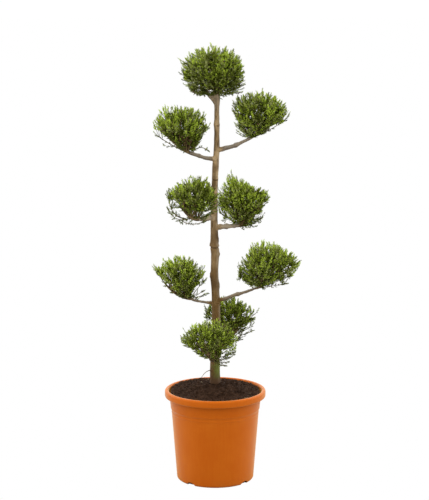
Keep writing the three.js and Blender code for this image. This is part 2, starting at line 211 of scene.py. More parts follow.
@dataclass(frozen=True)
class PlasticFinish:
    """Satin moulded plastic with faint flow streaks, dust and scuffs."""

    body: Colour = (0.350, 0.067, 0.0024)
    worn: Colour = (0.395, 0.091, 0.0048)
    dusty: Colour = (0.28, 0.085, 0.012)
    gloss_tint: Colour = (1.0, 0.72, 0.30)
    sheen_tint: Colour = (1.0, 0.70, 0.08)
    roughness: float = 0.36
    specular: float = 0.14
    sheen: float = 0.22
    sheen_roughness: float = 0.45
    cloud_size: float = 45
    streak_size: float = 5
    streak_stretch: float = 16
    scuff_size: float = 2.4
    scuff_stretch: float = 3
    grain_size: float = 0.9
    relief: float = 0.05
    dust_height: float = 30.0
    dust_share: float = 0.4

    def material(self) -> Material:
        """Builds the finish."""
        finish = Finish("pot_plastic_satin")
        cloud = finish.noise(self.cloud_size, detail=3)
        streaks = finish.noise(self.streak_size, stretch=(1, 1, self.streak_stretch))
        sideways = (self.scuff_stretch, self.scuff_stretch, 1)
        scuffs = finish.noise(self.scuff_size, detail=5, stretch=sideways).rise(0.62, 0.74)
        dust = (1 - finish.height().rise(0, self.dust_height)) * cloud.rise(0.4, 0.7)
        worn = (cloud - 0.5) * 0.5 + (streaks - 0.5) * 0.35 + scuffs * 0.25 + 0.12
        colour = finish.mix(worn.rise(-0.05, 0.55), self.body, self.worn)
        finish.set(Base_Color=finish.mix(dust * self.dust_share, colour, self.dusty))
        finish.set(Roughness=self.roughness + (cloud - 0.5) * 0.12 + scuffs * 0.12 + dust * 0.15)
        finish.set(Specular_IOR_Level=self.specular, Specular_Tint=self.gloss_tint)
        finish.set(Sheen_Weight=self.sheen, Sheen_Roughness=self.sheen_roughness)
        finish.set(Sheen_Tint=self.sheen_tint)
        finish.bump(finish.noise(self.grain_size, detail=3) + streaks * 0.6, self.relief, 0.5)
        return finish.material


@dataclass(frozen=True)
class SoilFinish:
    """Damp, dark compost, or what lies on it."""

    name: str = "soil_compost"
    dark: Colour = (0.012, 0.0058, 0.0030)
    light: Colour = (0.039, 0.0195, 0.0105)
    grain_size: float = 2.2
    patch_size: float = 18
    roughness: float = 0.98
    specular: float = 0.04
    relief: float = 0.8

    def material(self) -> Material:
        """Builds the finish."""
        finish = Finish(self.name)
        grains = finish.noise(self.grain_size, detail=5)
        patches = finish.noise(self.patch_size)
        share = (grains * 0.65 + patches * 0.35).rise(0.36, 0.66)
        finish.set(Base_Color=finish.mix(share, self.dark, self.light))
        finish.set(Roughness=self.roughness - patches * 0.25)
        finish.set(Specular_IOR_Level=self.specular)
        finish.bump(grains, self.relief, 0.9)
        return finish.material


@dataclass(frozen=True)
class BarkFinish:
    """Thin bark, tan and streaked, dark in its scars and green with algae near the soil.

    Pairs of heights are where a colour begins and where it is full, or the other way round where it fades.
    Painted light makes the tops of boughs and the trunk's right side paler, and painted shade makes their
    undersides and the trunk's left side browner. Painted shade also darkens the trunk under the mid-right
    bough, as that bough's painted shadow, and the trunk's foot next to the soil, along with soil stain
    there.
    """

    pale: Colour = (0.38, 0.265, 0.135)
    tan: Colour = (0.225, 0.145, 0.066)
    brown: Colour = (0.072, 0.040, 0.014)
    algae: Colour = (0.100, 0.122, 0.020)
    grey: Colour = (0.34, 0.30, 0.23)
    ashen: Colour = (0.160, 0.150, 0.130)
    soil_stain_and_shade: Colour = (0.060, 0.030, 0.014)
    russet: Colour = (0.097, 0.049, 0.009)
    streak_size: float = 4.2
    streak_stretch: float = 6
    patch_size: float = 17
    patch_stretch: float = 2
    fleck_size: float = 1.1
    fleck_stretch: float = 2.4
    grey_tier_foot: Pair = (680, 700)
    grey_tier_top: Pair = (770, 800)
    russet_middle: Pair = (660, 725)
    russet_foot: Pair = (530, 620)
    grey_tip: Pair = (1010, 1050)
    soil_stain_and_shade_band: Pair = (272, 308)
    roughness: float = 0.74
    specular: float = 0.15
    relief: float = 0.5

    def material(self) -> Material:
        """Builds the finish."""
        finish = Finish("bark_tan")
        streaks = finish.noise(self.streak_size, detail=4, stretch=(1, 1, self.streak_stretch))
        patches = finish.noise(self.patch_size, detail=3, stretch=(1, 1, self.patch_stretch))
        flecks = finish.noise(self.fleck_size, detail=3, stretch=(1, 1, self.fleck_stretch))
        colour = finish.mix((streaks * 0.7 + patches * 0.3).rise(0.27, 0.62), self.brown, self.tan)
        colour = finish.mix(patches.rise(0.42, 0.72) * 0.75, colour, self.pale)
        colour = finish.mix(flecks.rise(0.6, 0.72) * 0.45, colour, self.grey)
        height = finish.height()
        # Painted light from the points' own values: high on the tops of boughs and the trunk's right side,
        # broken up by patches.
        painted_light = finish.mark("painted_light") + (patches - 0.5) * 0.6
        stem = finish.mark("stem")
        tier = height.rise(*self.grey_tier_foot) * (1 - height.rise(*self.grey_tier_top))
        colour = finish.mix((1 - stem) * 0.6, colour, finish.mix(tier, self.ashen, self.grey))
        low = (1 - height.rise(*self.russet_middle)) * 0.5 + (1 - height.rise(*self.russet_foot)) * 0.36
        colour = finish.mix(low * (0.4 + stem * 0.6) * (0.4 + streaks * 1.1), colour, self.russet)
        # Painted shade: browner where the painted light is low, on bough undersides and the trunk's left
        # side.
        colour = finish.mix((1 - painted_light.rise(0.0, 0.55)) * 0.5, colour, self.brown)
        # Painted light: paler and greyer where the painted light is high.
        colour = finish.mix(painted_light.rise(0.55, 1.0) * 0.3, colour, self.grey)
        colour = finish.mix(height.rise(*self.grey_tip) * 0.25, colour, self.grey)
        moss = finish.mark("moss") * (0.25 + patches + streaks * 0.4)
        colour = finish.mix(moss.rise(0.1, 0.8) * 0.9, colour, self.algae)
        # Soil stain and painted shade darken the trunk's foot next to the soil.
        colour = finish.mix((1 - height.rise(*self.soil_stain_and_shade_band)) * 0.95, colour, self.soil_stain_and_shade)
        # Dark scars and knots, and the painted shadow under the mid-right bough.
        colour = finish.mix(finish.mark("scar_and_shadow").rise(0.1, 0.9), colour, self.brown)
        finish.set(Base_Color=colour)
        finish.set(Roughness=self.roughness + (streaks - 0.5) * 0.3)
        finish.set(Specular_IOR_Level=self.specular)
        finish.bump(streaks * 0.7 + flecks * 0.5, self.relief, 0.85)
        return finish.material


@dataclass(frozen=True)
class TwigFinish:
    """Young bark on the twigs inside a pompon."""

    name: str = "bark_twig"
    dark: Colour = (0.056, 0.037, 0.015)
    light: Colour = (0.190, 0.128, 0.055)
    patch_size: float = 9
    grain_size: float = 1.2
    roughness: float = 0.8
    specular: float = 0.15
    relief: float = 0.3

    def material(self) -> Material:
        """Builds the finish."""
        finish = Finish(self.name)
        patches = finish.noise(self.patch_size, detail=3)
        finish.set(Base_Color=finish.mix(patches.rise(0.35, 0.65), self.dark, self.light))
        finish.set(Roughness=self.roughness, Specular_IOR_Level=self.specular)
        finish.bump(finish.noise(self.grain_size), self.relief, 0.6)
        return finish.material


class Tint(Enum):
    """The colours of scale leaves, from new growth to dead. Fresh-lit, light, mid and deep are lit and
    shaded copies of the green, painted light and painted shade, with fresh-lit on lit new tips. Pale and
    olive are the lit and the shaded copy of the undersides.
    """

    FRESH_LIT = (0.418, 0.532, 0.055)
    LIGHT = (0.229, 0.295, 0.024)
    MID = (0.141, 0.179, 0.0145)
    DEEP = (0.089, 0.110, 0.0095)
    PALE = (0.303, 0.330, 0.106)
    OLIVE = (0.130, 0.143, 0.040)
    DRY = (0.125, 0.078, 0.032)


@dataclass(frozen=True)
class LeafFinish:
    """Scale leaves of one tint: a plain colour under a relief of overlapping scales."""

    tint: Tint
    roughness: float = 0.55
    specular: float = 0.14
    scale_size: float = 1.3
    relief: float = 0.35

    def material(self) -> Material:
        """Builds the finish."""
        finish = Finish(f"leaf_{self.tint.name.lower()}")
        finish.set(Base_Color=self.tint.value, Specular_IOR_Level=self.specular)
        finish.set(Roughness=self.roughness)
        finish.bump(finish.noise(self.scale_size), self.relief, 0.7)
        return finish.material


@dataclass(frozen=True)
class FloorFinish:
    """A studio floor: grey to the light that it throws back, and burnt out to white in the picture."""

    low: Colour = (0.40, 0.40, 0.40)
    high: Colour = (0.44, 0.44, 0.44)
    cloud_size: float = 300
    roughness: float = 0.9
    specular: float = 0.1

    def material(self) -> Material:
        """Builds the finish."""
        finish = Finish("floor_pale")
        finish.set(Base_Color=finish.mix(finish.noise(self.cloud_size), self.low, self.high))
        finish.set(Roughness=self.roughness, Specular_IOR_Level=self.specular)
        white = finish.node("ShaderNodeEmission", None, {"Color": WHITE, "Strength": 1.0})
        seen = finish.node("ShaderNodeLightPath").outputs["Is Camera Ray"]
        both = {0: seen, 1: finish.surface.outputs[0], 2: white.outputs[0]}
        shown = finish.node("ShaderNodeMixShader", None, both)
        finish.feed(finish.tree.nodes["Material Output"].inputs["Surface"], shown.outputs[0])
        return finish.material


# Shapes

class Mesher:
    """Points and faces of one piece in the making, in millimetres."""

    def __init__(self) -> None:
        """Starts with nothing."""
        self.points: list[Array] = []
        self.faces: list[Array] = []
        self.count = 0

    def add(self, points: Array, *faces: Array) -> None:
        """Adds points, and faces that count those points from 0."""
        flat = points.reshape(-1, 3)
        self.points.append(flat)
        self.faces.extend(rows.reshape(-1, rows.shape[-1]) + self.count for rows in faces)
        self.count += len(flat)

    def mesh(self, name: str) -> Mesh:
        """Makes a mesh of what was added, in metres.

        Args:
            name: The mesh's name.

        Returns:
            The mesh, with flat faces.
        """
        mesh = bpy.data.meshes.new(name)
        mesh.vertices.add(self.count)
        mesh.vertices.foreach_set("co", (np.concatenate(self.points) * MM).astype(np.float32).ravel())
        corners = np.concatenate([rows.ravel() for rows in self.faces])
        sizes = np.concatenate([np.full(len(rows), rows.shape[1]) for rows in self.faces])
        mesh.loops.add(len(corners))
        mesh.loops.foreach_set("vertex_index", corners.astype(np.int32))
        mesh.polygons.add(len(sizes))
        mesh.polygons.foreach_set("loop_start", (np.cumsum(sizes) - sizes).astype(np.int32))
        mesh.update(calc_edges=True)
        return mesh


def mesh_of(name: str, points: Array, *faces: Array) -> Mesh:
    """Makes a mesh of points in millimetres and their faces."""
    shape = Mesher()
    shape.add(points, *faces)
    return shape.mesh(name)


def linked(name: str, data: bpy.types.ID) -> bpy.types.Object:
    """Makes an object in the scene."""
    made = bpy.data.objects.new(name, data)
    bpy.context.scene.collection.objects.link(made)
    return made


def piece_of(mesh: Mesh, material: Material, nodes: tuple[str, ...],
             smooth: bool = True) -> bpy.types.Object:
    """Makes a mesh a piece of the topiary.

    Args:
        mesh: The piece's mesh, whose name it takes.
        material: Its finish.
        nodes: The nodes that it stands for.
        smooth: Whether its faces are shaded as one surface.

    Returns:
        The piece's object.
    """
    mesh.materials.clear()
    mesh.materials.append(material)
    mesh.polygons.foreach_set("use_smooth", np.full(len(mesh.polygons), smooth))
    piece = linked(mesh.name, mesh)
    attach(piece, BODY)
    if nodes:
        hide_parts(*nodes)
    LOG.info("%s: %d faces", piece.name, len(mesh.polygons))
    return piece


def after_modifier(mesh: Mesh, kind: str, **settings: object) -> Mesh:
    """A new mesh of the same name, as one modifier leaves it.

    Args:
        mesh: The mesh before, which is removed.
        kind: The modifier's type.
        settings: The modifier's settings.

    Returns:
        The mesh after.
    """
    name = mesh.name
    mesh.name = name + ".before"
    maker = linked("maker", mesh)
    modifier = maker.modifiers.new(kind.title(), kind)
    for key, value in settings.items():
        setattr(modifier, key, value)
    graph = bpy.context.evaluated_depsgraph_get()
    made = bpy.data.meshes.new_from_object(maker.evaluated_get(graph))
    bpy.data.objects.remove(maker)
    bpy.data.meshes.remove(mesh)
    made.name = name
    return made


def lengths(vectors: Array) -> Array:
    """The lengths of vectors, along their last axis."""
    return np.linalg.norm(vectors, axis=-1)


def unit(vectors: Array) -> Array:
    """Vectors at length 1, along their last axis."""
    return vectors / np.maximum(lengths(vectors)[..., None], 1e-9)


def bell(places: Array) -> Array:
    """A bell curve that is 1 at 0."""
    return np.exp(-(places**2))


def mix(first: "Array | float", second: "Array | float", share: "Array | float") -> "Array | float":
    """A value between two."""
    return first + (second - first) * share


def heading(degrees: float) -> Array:
    """A level unit vector, anticlockwise from +X seen from above."""
    angle = math.radians(degrees)
    return np.array([math.cos(angle), math.sin(angle), 0.0])


def smooth_noise(points: Array, size: float, seed: int) -> Array:
    """Even noise over places, the same on every run.

    Args:
        points: The places, one a row.
        size: Width of the noise's lumps.
        seed: Number of the pattern.

    Returns:
        A value from -1 to 1 for each place.
    """
    cells = np.floor(points / size).astype(np.int64)
    share = points / size - cells
    share = share * share * (3 - 2 * share)
    total = np.zeros(len(points))
    for corner in product((0, 1), repeat=3):
        weight = np.prod(np.where(np.array(corner) == 1, share, 1 - share), axis=1)
        number = (cells + corner) @ np.array([73856093, 19349663, 83492791]) + seed * 374761393
        number = (number ^ (number >> 15)) * 2246822519
        number = number ^ (number >> 13)
        total += weight * ((number & 0xFFFF) / 32767.5 - 1)
    return total


def carried(points: Array, depth: "Array | float") -> Array:
    """Points moved along the camera's rays to a depth, so that they are seen where they were."""
    share = (depth - EYE[1]) / (points[:, 1] - EYE[1])
    return EYE + (points - EYE) * share[:, None]


def curve(start: Array, lead: Array, end: Array, count: int) -> Array:
    """Points along quadratic curves.

    Args:
        start: Where each curve starts.
        lead: The point that it heads for first.
        end: Where it ends.
        count: How many points it gets.

    Returns:
        The points, by curve where there are several.
    """
    share = np.linspace(0, 1, count)[:, None]
    first, second, third = (np.expand_dims(point, -2) for point in (start, lead, end))
    return first * (1 - share) ** 2 + 2 * second * share * (1 - share) + third * share**2


def even_steps(path: Array, count: int) -> Array:
    """A path's points spaced evenly along its length."""
    steps = lengths(np.diff(path, axis=0))
    reach = np.concatenate([[0], np.cumsum(steps)])
    places = np.linspace(0, reach[-1], count)
    return np.stack([np.interp(places, reach, path[:, axis]) for axis in range(3)], axis=1)


def headings(paths: Array) -> Array:
    """Unit vectors along paths at each of their points."""
    return unit(np.gradient(paths, axis=-2))


def along(paths: Array, shares: Array) -> tuple[Array, Array]:
    """The points at shares of the way along paths, and the headings there, by path."""
    step = shares * (paths.shape[1] - 1)
    low = np.minimum(step.astype(int), paths.shape[1] - 2)
    row = np.arange(len(paths)).reshape(-1, *[1] * (shares.ndim - 1))
    before, after = paths[row, low], paths[row, low + 1]
    return mix(before, after, (step - low)[..., None]), unit(after - before)


def tubes(paths: Array, radii: Array, sides: int) -> tuple[Array, Array, Array]:
    """Closed round limbs along paths.

    Args:
        paths: The middle of each limb, as limbs by points by 3.
        radii: The radius at each point.
        sides: How many sides a limb has.

    Returns:
        Its points, its walls and its two ends.
    """
    count, steps = paths.shape[:2]
    along = headings(paths)
    flattest = np.eye(3)[np.argmin(np.abs(along.mean(axis=1)), axis=1)]
    across = unit(np.cross(flattest[:, None], along))
    beside = np.cross(along, across)
    turn = np.arange(sides) * 2 * math.pi / sides
    ring = np.cos(turn)[:, None] * across[:, :, None] + np.sin(turn)[:, None] * beside[:, :, None]
    points = paths[:, :, None] + ring * np.broadcast_to(radii, (count, steps))[..., None, None]
    number = np.arange(count * steps * sides).reshape(count, steps, sides)
    after = np.roll(number, -1, axis=2)
    walls = np.stack([number[:, :-1], after[:, :-1], after[:, 1:], number[:, 1:]], axis=-1)
    ends = np.concatenate([number[:, 0, ::-1], number[:, -1]])
    return points, walls, ends


def arc(centre: Pair, radius: float, first: float, last: float, steps: int) -> list[tuple]:
    """Points of an arc in a profile, from one angle to another in degrees."""
    angles = np.radians(np.linspace(first, last, steps + 1))
    return [(centre[0] + radius * math.cos(a), centre[1] + radius * math.sin(a)) for a in angles]


def turned(profile: list[tuple], sides: int) -> tuple[Array, Array, Array]:
    """A turned shape on +Z.

    Args:
        profile: Pairs of radius and height, from the axis to the axis.
        sides: How many sides it has.

    Returns:
        Its points, the faces between rings and the faces at the axis.
    """
    rings = np.array(profile[1:-1])
    turn = np.arange(sides) * 2 * math.pi / sides
    level = np.stack([np.cos(turn), np.sin(turn)], axis=-1)
    around = rings[:, None, :1] * level
    heights = np.broadcast_to(rings[:, None, 1:], (*around.shape[:2], 1))
    points = np.concatenate([around, heights], axis=-1).reshape(-1, 3)
    poles = np.array([[0, 0, profile[0][1]], [0, 0, profile[-1][1]]])
    number = np.arange(len(points)).reshape(len(rings), sides)
    after = np.roll(number, -1, axis=1)
    walls = np.stack([number[:-1], after[:-1], after[1:], number[1:]], axis=-1)
    below = np.stack([after[0], number[0], np.full(sides, len(points))], axis=-1)
    above = np.stack([number[-1], after[-1], np.full(sides, len(points) + 1)], axis=-1)
    return np.concatenate([points, poles]), walls, np.concatenate([below, above])


# Pot and soil

@dataclass
class Pot:
    """A turned plastic pot with a rolled rim, a collar and arched drainage notches in its foot."""

    height: float = 254.5
    rim_radius: float = 140
    rim_face: float = 20
    rim_width: float = 12
    rim_edge: float = 4
    rim_fillet: float = 2
    rim_face_start: float = 5
    collar_radius: float = 127
    collar_draft: float = 3.2
    collar_foot: float = 203
    collar_insets: Pair = (2, 2.5)
    lip: tuple[Pair, ...] = ((-1.2, -2.2), (-0.3, -1.0), (0, 0.6))
    under_lip: tuple[Pair, ...] = ((6, 6), (4, 4.4))
    shoulder_radius: float = 122
    base_radius: float = 107
    corner_radius: float = 7.5
    wall: float = 3
    wall_foot: float = 14
    wall_rings: int = 30
    mouth: Pair = (2.4, 6)
    floor: float = 4
    foot_shares: tuple[float, ...] = (0.3, 0.6, 0.8)
    sides: int = 240
    ring_height: float = 192
    ring_proud: float = 0.3
    ring_width: float = 4
    notch_turns: tuple[float, ...] = (50, 140, 230, 320)
    notch_width: float = 29
    notch_height: float = 9.5
    notch_depth: float = 18
    notch_sides: int = 40
    sharp_angle: float = 38

    def wall_radius(self, height: float) -> float:
        """The outside radius of the plain wall at a height."""
        share = (height - self.corner_radius) / (self.collar_foot - self.corner_radius)
        return mix(self.base_radius, self.shoulder_radius, share)

    def outside_wall(self) -> list[tuple]:
        """The profile from the middle of the underside up to the collar."""
        corner = (self.base_radius - self.corner_radius, self.corner_radius)
        heights = np.linspace(self.wall_foot, self.ring_height - self.ring_width, self.wall_rings)
        around, half = self.wall_radius(self.ring_height), self.ring_width / 2
        swell = [(math.sin(a), math.cos(a)) for a in np.linspace(0, math.pi, 9)]
        return [
            (0, 0),
            *((self.base_radius * share, 0) for share in self.foot_shares),
            *arc(corner, self.corner_radius, -90, -4, 8),
            *((self.wall_radius(z), z) for z in heights),
            *((around + self.ring_proud * out, self.ring_height - half * down) for out, down in swell),
        ]

    def outside_rim(self) -> list[tuple]:
        """The profile from the step under the collar up over the crest of the rim."""
        foot, lip = self.collar_foot, self.collar_radius - self.collar_draft
        under, roll = self.height - self.rim_face, self.rim_width / 2
        low, high = foot + self.collar_insets[0], under - self.collar_insets[1]
        start, edge = under + self.rim_face_start, under + self.rim_edge
        return [
            *((self.wall_radius(foot - down), foot - drop) for down, drop in self.under_lip),
            *((lip + out, foot + up) for out, up in self.lip),
            *((mix(lip, self.collar_radius, s), mix(low, high, s)) for s in (0, 0.3, 0.6, 1)),
            *arc((self.collar_radius + self.rim_fillet, edge), self.rim_fillet, 180, 0, 8),
            *arc((self.rim_radius - self.rim_edge, edge), self.rim_edge, -115, -6, 7),
            *((self.rim_radius, mix(start, self.height - roll, s)) for s in (0.2, 0.6)),
            *arc((self.rim_radius - roll, self.height - roll), roll, 0, 180, 16),
        ]

    def inside(self) -> list[tuple]:
        """The profile from the rim down to the middle of the floor inside."""
        inner = self.collar_radius - self.wall
        under = self.height - self.rim_face
        return [
            (inner + self.mouth[0], under + self.mouth[1]),
            (inner, under),
            (inner, self.collar_foot + self.wall),
            (self.shoulder_radius - self.wall, self.collar_foot),
            (self.base_radius - self.wall, self.floor),
            (0, self.floor),
        ]

    def notches(self) -> Mesh:
        """The arches that are cut through the foot, as one mesh."""
        shape = Mesher()
        turn = np.arange(self.notch_sides) * 2 * math.pi / self.notch_sides
        for degrees in self.notch_turns:
            out = heading(degrees)
            side = np.cross(UP, out)
            ring = (np.cos(turn)[:, None] * side * self.notch_width / 2
                    + np.sin(turn)[:, None] * UP * self.notch_height)
            ends = [out * (self.base_radius + way * self.notch_depth) for way in (-1, 1)]
            number = np.arange(2 * self.notch_sides).reshape(2, -1)
            after = np.roll(number, -1, axis=1)
            walls = np.stack([number[0], after[0], after[1], number[1]], axis=-1)
            shape.add(np.stack([ring + end for end in ends]), walls, number[:1, ::-1], number[1:])
        return shape.mesh("pot_notches")

    def build(self) -> Mesh:
        """Turns the pot and cuts its notches."""
        profile = self.outside_wall() + self.outside_rim() + self.inside()
        cutter = linked("pot_cutter", self.notches())
        cut = {"operation": "DIFFERENCE", "object": cutter, "solver": "EXACT"}
        mesh = after_modifier(mesh_of("pot_shell", *turned(profile, self.sides)), "BOOLEAN", **cut)
        notches = cutter.data
        bpy.data.objects.remove(cutter)
        bpy.data.meshes.remove(notches)
        return mesh

    def dress(self, finish: PlasticFinish) -> None:
        """Makes the pot's piece."""
        mesh = self.build()
        piece_of(mesh, finish.material(), ("pot",))
        mesh.set_sharp_from_angle(angle=math.radians(self.sharp_angle))


@dataclass
class Soil:
    """Compost heaped a little round the stem, with crumbs, chips of bark and a few pale fibres.

    Layers are the width and the height of its unevenness, from coarse to fine. Crumbs and chips have a
    least and a greatest half length along their three axes.
    """

    pot: Pot
    gap: float = 0.3
    margin: float = 5
    edge_height: float = 251
    wall_top: float = 12
    mound_height: float = 268
    mound_radius: float = 24
    calm_radius: float = 8
    heap: float = 5
    heap_turn: float = 125
    heap_start: float = 0.35
    hollow: float = 2
    rings: int = 70
    sides: int = 180
    layers: tuple[Pair, ...] = ((19, 1.6), (6, 1.7), (2.6, 0.9))
    crumbs: int = 1700
    crumb_sizes: tuple[Triple, Triple] = ((0.8, 0.7, 0.5), (3.2, 2.7, 1.8))
    chips: int = 110
    chip_sizes: tuple[Triple, Triple] = ((2.0, 0.9, 0.5), (7.5, 2.6, 1.1))
    chip_finish: SoilFinish = SoilFinish(
        "soil_bark_chips", dark=(0.022, 0.011, 0.006), light=(0.075, 0.038, 0.019), grain_size=3.0
    )
    small_share: float = 2.2
    unevenness: float = 0.28
    tip_over: float = 0.35
    sit: float = 0.4
    fibres: int = 8
    fibre_steps: int = 7
    fibre_sides: int = 4
    fibre_lift: float = 0.6
    fibre_lengths: Pair = (6, 15)
    fibre_bend: float = 0.35
    fibre_rise: Pair = (1.5, 5)
    fibre_radii: Pair = (0.34, 0.16)
    fibre_finish: SoilFinish = SoilFinish(
        "soil_pale_fibres", dark=(0.22, 0.17, 0.10), light=(0.42, 0.35, 0.22), grain_size=2.0
    )
    stem_place: Triple = (0, 10, 0)
    stem_radius: float = 16.5
    seed: int = 5

    def level(self, places: Array) -> Array:
        """The height of the soil at level places."""
        away = lengths(places[:, :2])
        edge = self.pot.collar_radius - self.pot.wall - self.gap
        share = np.clip((away - self.mound_radius) / (edge - self.mound_radius), 0, 1)
        mound = mix(self.edge_height, self.mound_height, (1 + np.cos(math.pi * share)) / 2)
        towards = unit(places[:, :2]) @ heading(self.heap_turn)[:2]
        rim = np.clip(share - self.heap_start, 0, 1) / (1 - self.heap_start)
        heap = rim * np.where(towards > 0, self.heap * towards**2, self.hollow * towards)
        flat = np.column_stack([places[:, :2], np.zeros(len(places))])
        rough = np.zeros(len(places))
        for number, (width, height) in enumerate(self.layers):
            rough += smooth_noise(flat, width, self.seed + number) * height
        calm = np.clip((away - self.calm_radius) / self.mound_radius, 0, 1)
        return mound + heap + rough * calm

    def body(self) -> Mesh:
        """The compost down to the pot's floor."""
        pot = self.pot
        inset = pot.wall + self.gap
        edge = pot.collar_radius - inset
        wall = [
            (pot.base_radius - inset, pot.floor + self.gap),
            (pot.shoulder_radius - inset, pot.collar_foot),
            (edge, pot.collar_foot + pot.wall),
            (edge, pot.collar_foot + self.wall_top),
        ]
        top = [(edge * (1 - i / self.rings), self.edge_height) for i in range(self.rings)]
        points, walls, poles = turned([(0, wall[0][1]), *wall, *top, (0, self.mound_height)], self.sides)
        surface = points[:, 2] >= self.edge_height
        points[surface, 2] = self.level(points[surface])
        return mesh_of("soil_compost", points, walls, poles)

    def scattered(self, count: int, rng: np.random.Generator) -> Array:
        """Places strewn over the soil, clear of the stem and the pot."""
        edge = self.pot.collar_radius - self.pot.wall - self.margin
        away = np.sqrt(rng.uniform(0, 1, count)) * edge
        turn = rng.uniform(0, 2 * math.pi, count)
        places = np.column_stack([away * np.cos(turn), away * np.sin(turn), np.zeros(count)])
        from_stem = places - self.stem_place
        push = np.maximum(1, self.stem_radius / np.maximum(lengths(from_stem), 1))[:, None]
        places = self.stem_place + from_stem * push
        places[:, 2] = self.level(places)
        return places

    def lumps(self, name: str, count: int, sizes: tuple, rng: np.random.Generator) -> Mesh:
        """Strewn lumps with eight uneven faces.

        Args:
            name: The mesh's name.
            count: How many lumps.
            sizes: Least and greatest half length along a lump's three axes.
            rng: The stream of random numbers.

        Returns:
            All lumps as one mesh.
        """
        corners = np.array([[1, 0, 0], [-1, 0, 0], [0, 1, 0], [0, -1, 0], [0, 0, 1], [0, 0, -1]], float)
        above = [[0, 2, 4], [2, 1, 4], [1, 3, 4], [3, 0, 4]]
        below = [[2, 0, 5], [1, 2, 5], [3, 1, 5], [0, 3, 5]]
        least, greatest = np.array(sizes)
        reach = mix(least, greatest, rng.uniform(0, 1, (count, 1)) ** self.small_share)
        points = corners * reach[:, None] + rng.normal(0, self.unevenness, (count, 6, 3)) * reach[:, None]
        along = unit(rng.normal(0, 1, (count, 3)) * [1, 1, self.tip_over])
        beside = unit(np.cross(along, unit(rng.normal(0, 1, (count, 3)))))
        frames = np.stack([along, beside, np.cross(along, beside)], axis=1)
        points = points @ frames + self.scattered(count, rng)[:, None] + UP * reach[:, None, 2:] * self.sit
        return mesh_of(name, points, np.array(above + below) + 6 * np.arange(count)[:, None, None])

    def threads(self, rng: np.random.Generator) -> Mesh:
        """Pale root fibres that lie on the soil."""
        count = self.fibres
        start = self.scattered(count, rng) + UP * self.fibre_lift
        way = unit(rng.normal(0, 1, (count, 3)) * [1, 1, 0])
        length = rng.uniform(*self.fibre_lengths, (count, 1))
        bend = np.cross(way, UP) * rng.normal(0, self.fibre_bend, (count, 1)) * length
        rise = UP * rng.uniform(*self.fibre_rise, (count, 1))
        lead = start + way * length / 2 + bend + rise
        paths = curve(start, lead, start + way * length, self.fibre_steps)
        radii = np.linspace(*self.fibre_radii, self.fibre_steps)
        return mesh_of("soil_fibres", *tubes(paths, radii, self.fibre_sides))

    def dress(self, finish: SoilFinish) -> None:
        """Makes the soil's pieces."""
        rng = np.random.default_rng(self.seed)
        compost = finish.material()
        piece_of(self.body(), compost, ("soil",))
        crumbs = self.lumps("soil_crumbs", self.crumbs, self.crumb_sizes, rng)
        piece_of(crumbs, compost, ("soil",), smooth=False)
        chips = self.lumps("soil_chips", self.chips, self.chip_sizes, rng)
        piece_of(chips, self.chip_finish.material(), ("soil",), smooth=False)
        piece_of(self.threads(rng), self.fibre_finish.material(), ("soil",))


# Limbs

@dataclass
class Trunk:
    """The stem: it sways a little, leans forward as it rises, and flares at its foot."""

    foot_height: float = 268.3
    tip_height: float = 1074
    foot_y: float = 10
    foot_radius: float = 13.5
    tip_radius: float = 6.6
    flare: float = 1.8
    flare_height: float = 14
    fork_swell: float = 2.2
    fork_swell_height: float = 16
    sway: float = 4
    sway_depth: float = 2.8
    sway_turns: float = 1.6
    sway_phase: float = -0.13
    straight_foot: float = 0.1
    bends: tuple[Pair, ...] = (
        (268, 0.0), (450, -1.5), (545, -2.0), (568, -3.0), (600, -1.0), (636, 2.4), (665, 1.0), (690, 1.5),
        (780, 0.3), (866, -1.3), (930, 0.3), (1000, 0.4), (1045, 2.4), (1074, 2.2),
    )
    swells: tuple[Triple, ...] = (
        (1062, 2.0, 14), (990, 0.9, 9), (878, 1.2, 14), (668, 1.5, 26), (634, 0.9, 20), (300, 0.7, 40),
    )

    def share(self, heights: Array) -> Array:
        """How far up the trunk heights are, from 0 to 1."""
        return (heights - self.foot_height) / (self.tip_height - self.foot_height)

    def middle(self, heights: Array) -> Array:
        """The middle of the trunk at heights."""
        share = self.share(np.asarray(heights, float))
        turn = 2 * math.pi * (self.sway_turns * share + self.sway_phase)
        fade = np.minimum(1, share / self.straight_foot)
        across = self.sway * fade * np.sin(turn) + np.interp(heights, *zip(*self.bends))
        depth = self.foot_y * (1 - share) + self.sway_depth * fade * np.cos(turn)
        return np.stack([across, depth, np.broadcast_to(heights, share.shape)], axis=-1)

    def radius(self, heights: Array) -> Array:
        """The radius of the trunk at heights."""
        above = np.asarray(heights, float) - self.foot_height
        fork = bell((heights - self.tip_height) / self.fork_swell_height)
        plain = mix(self.foot_radius, self.tip_radius, self.share(np.asarray(heights, float)))
        for height, size, spread in self.swells:
            plain = plain + size * bell((heights - height) / spread)
        return plain + self.flare * np.exp(-above / self.flare_height) + self.fork_swell * fork

    def path(self, spacing: float) -> Beads:
        """Points up the trunk at a spacing, and its radius there."""
        count = math.ceil((self.tip_height - self.foot_height) / spacing) + 1
        heights = np.linspace(self.foot_height, self.tip_height, count)
        return self.middle(heights), self.radius(heights)


@dataclass(frozen=True)
class Fork:
    """A side limb of a clump, by places across and up: where it heads first, its end, and its root.

    Spray is the length of its sprays, and girth its share of the thickness of what it leaves.
    """

    lead: Pair
    end: Pair
    spray: float = 12.0
    girth: float = 0.5
    root: Pair | None = None


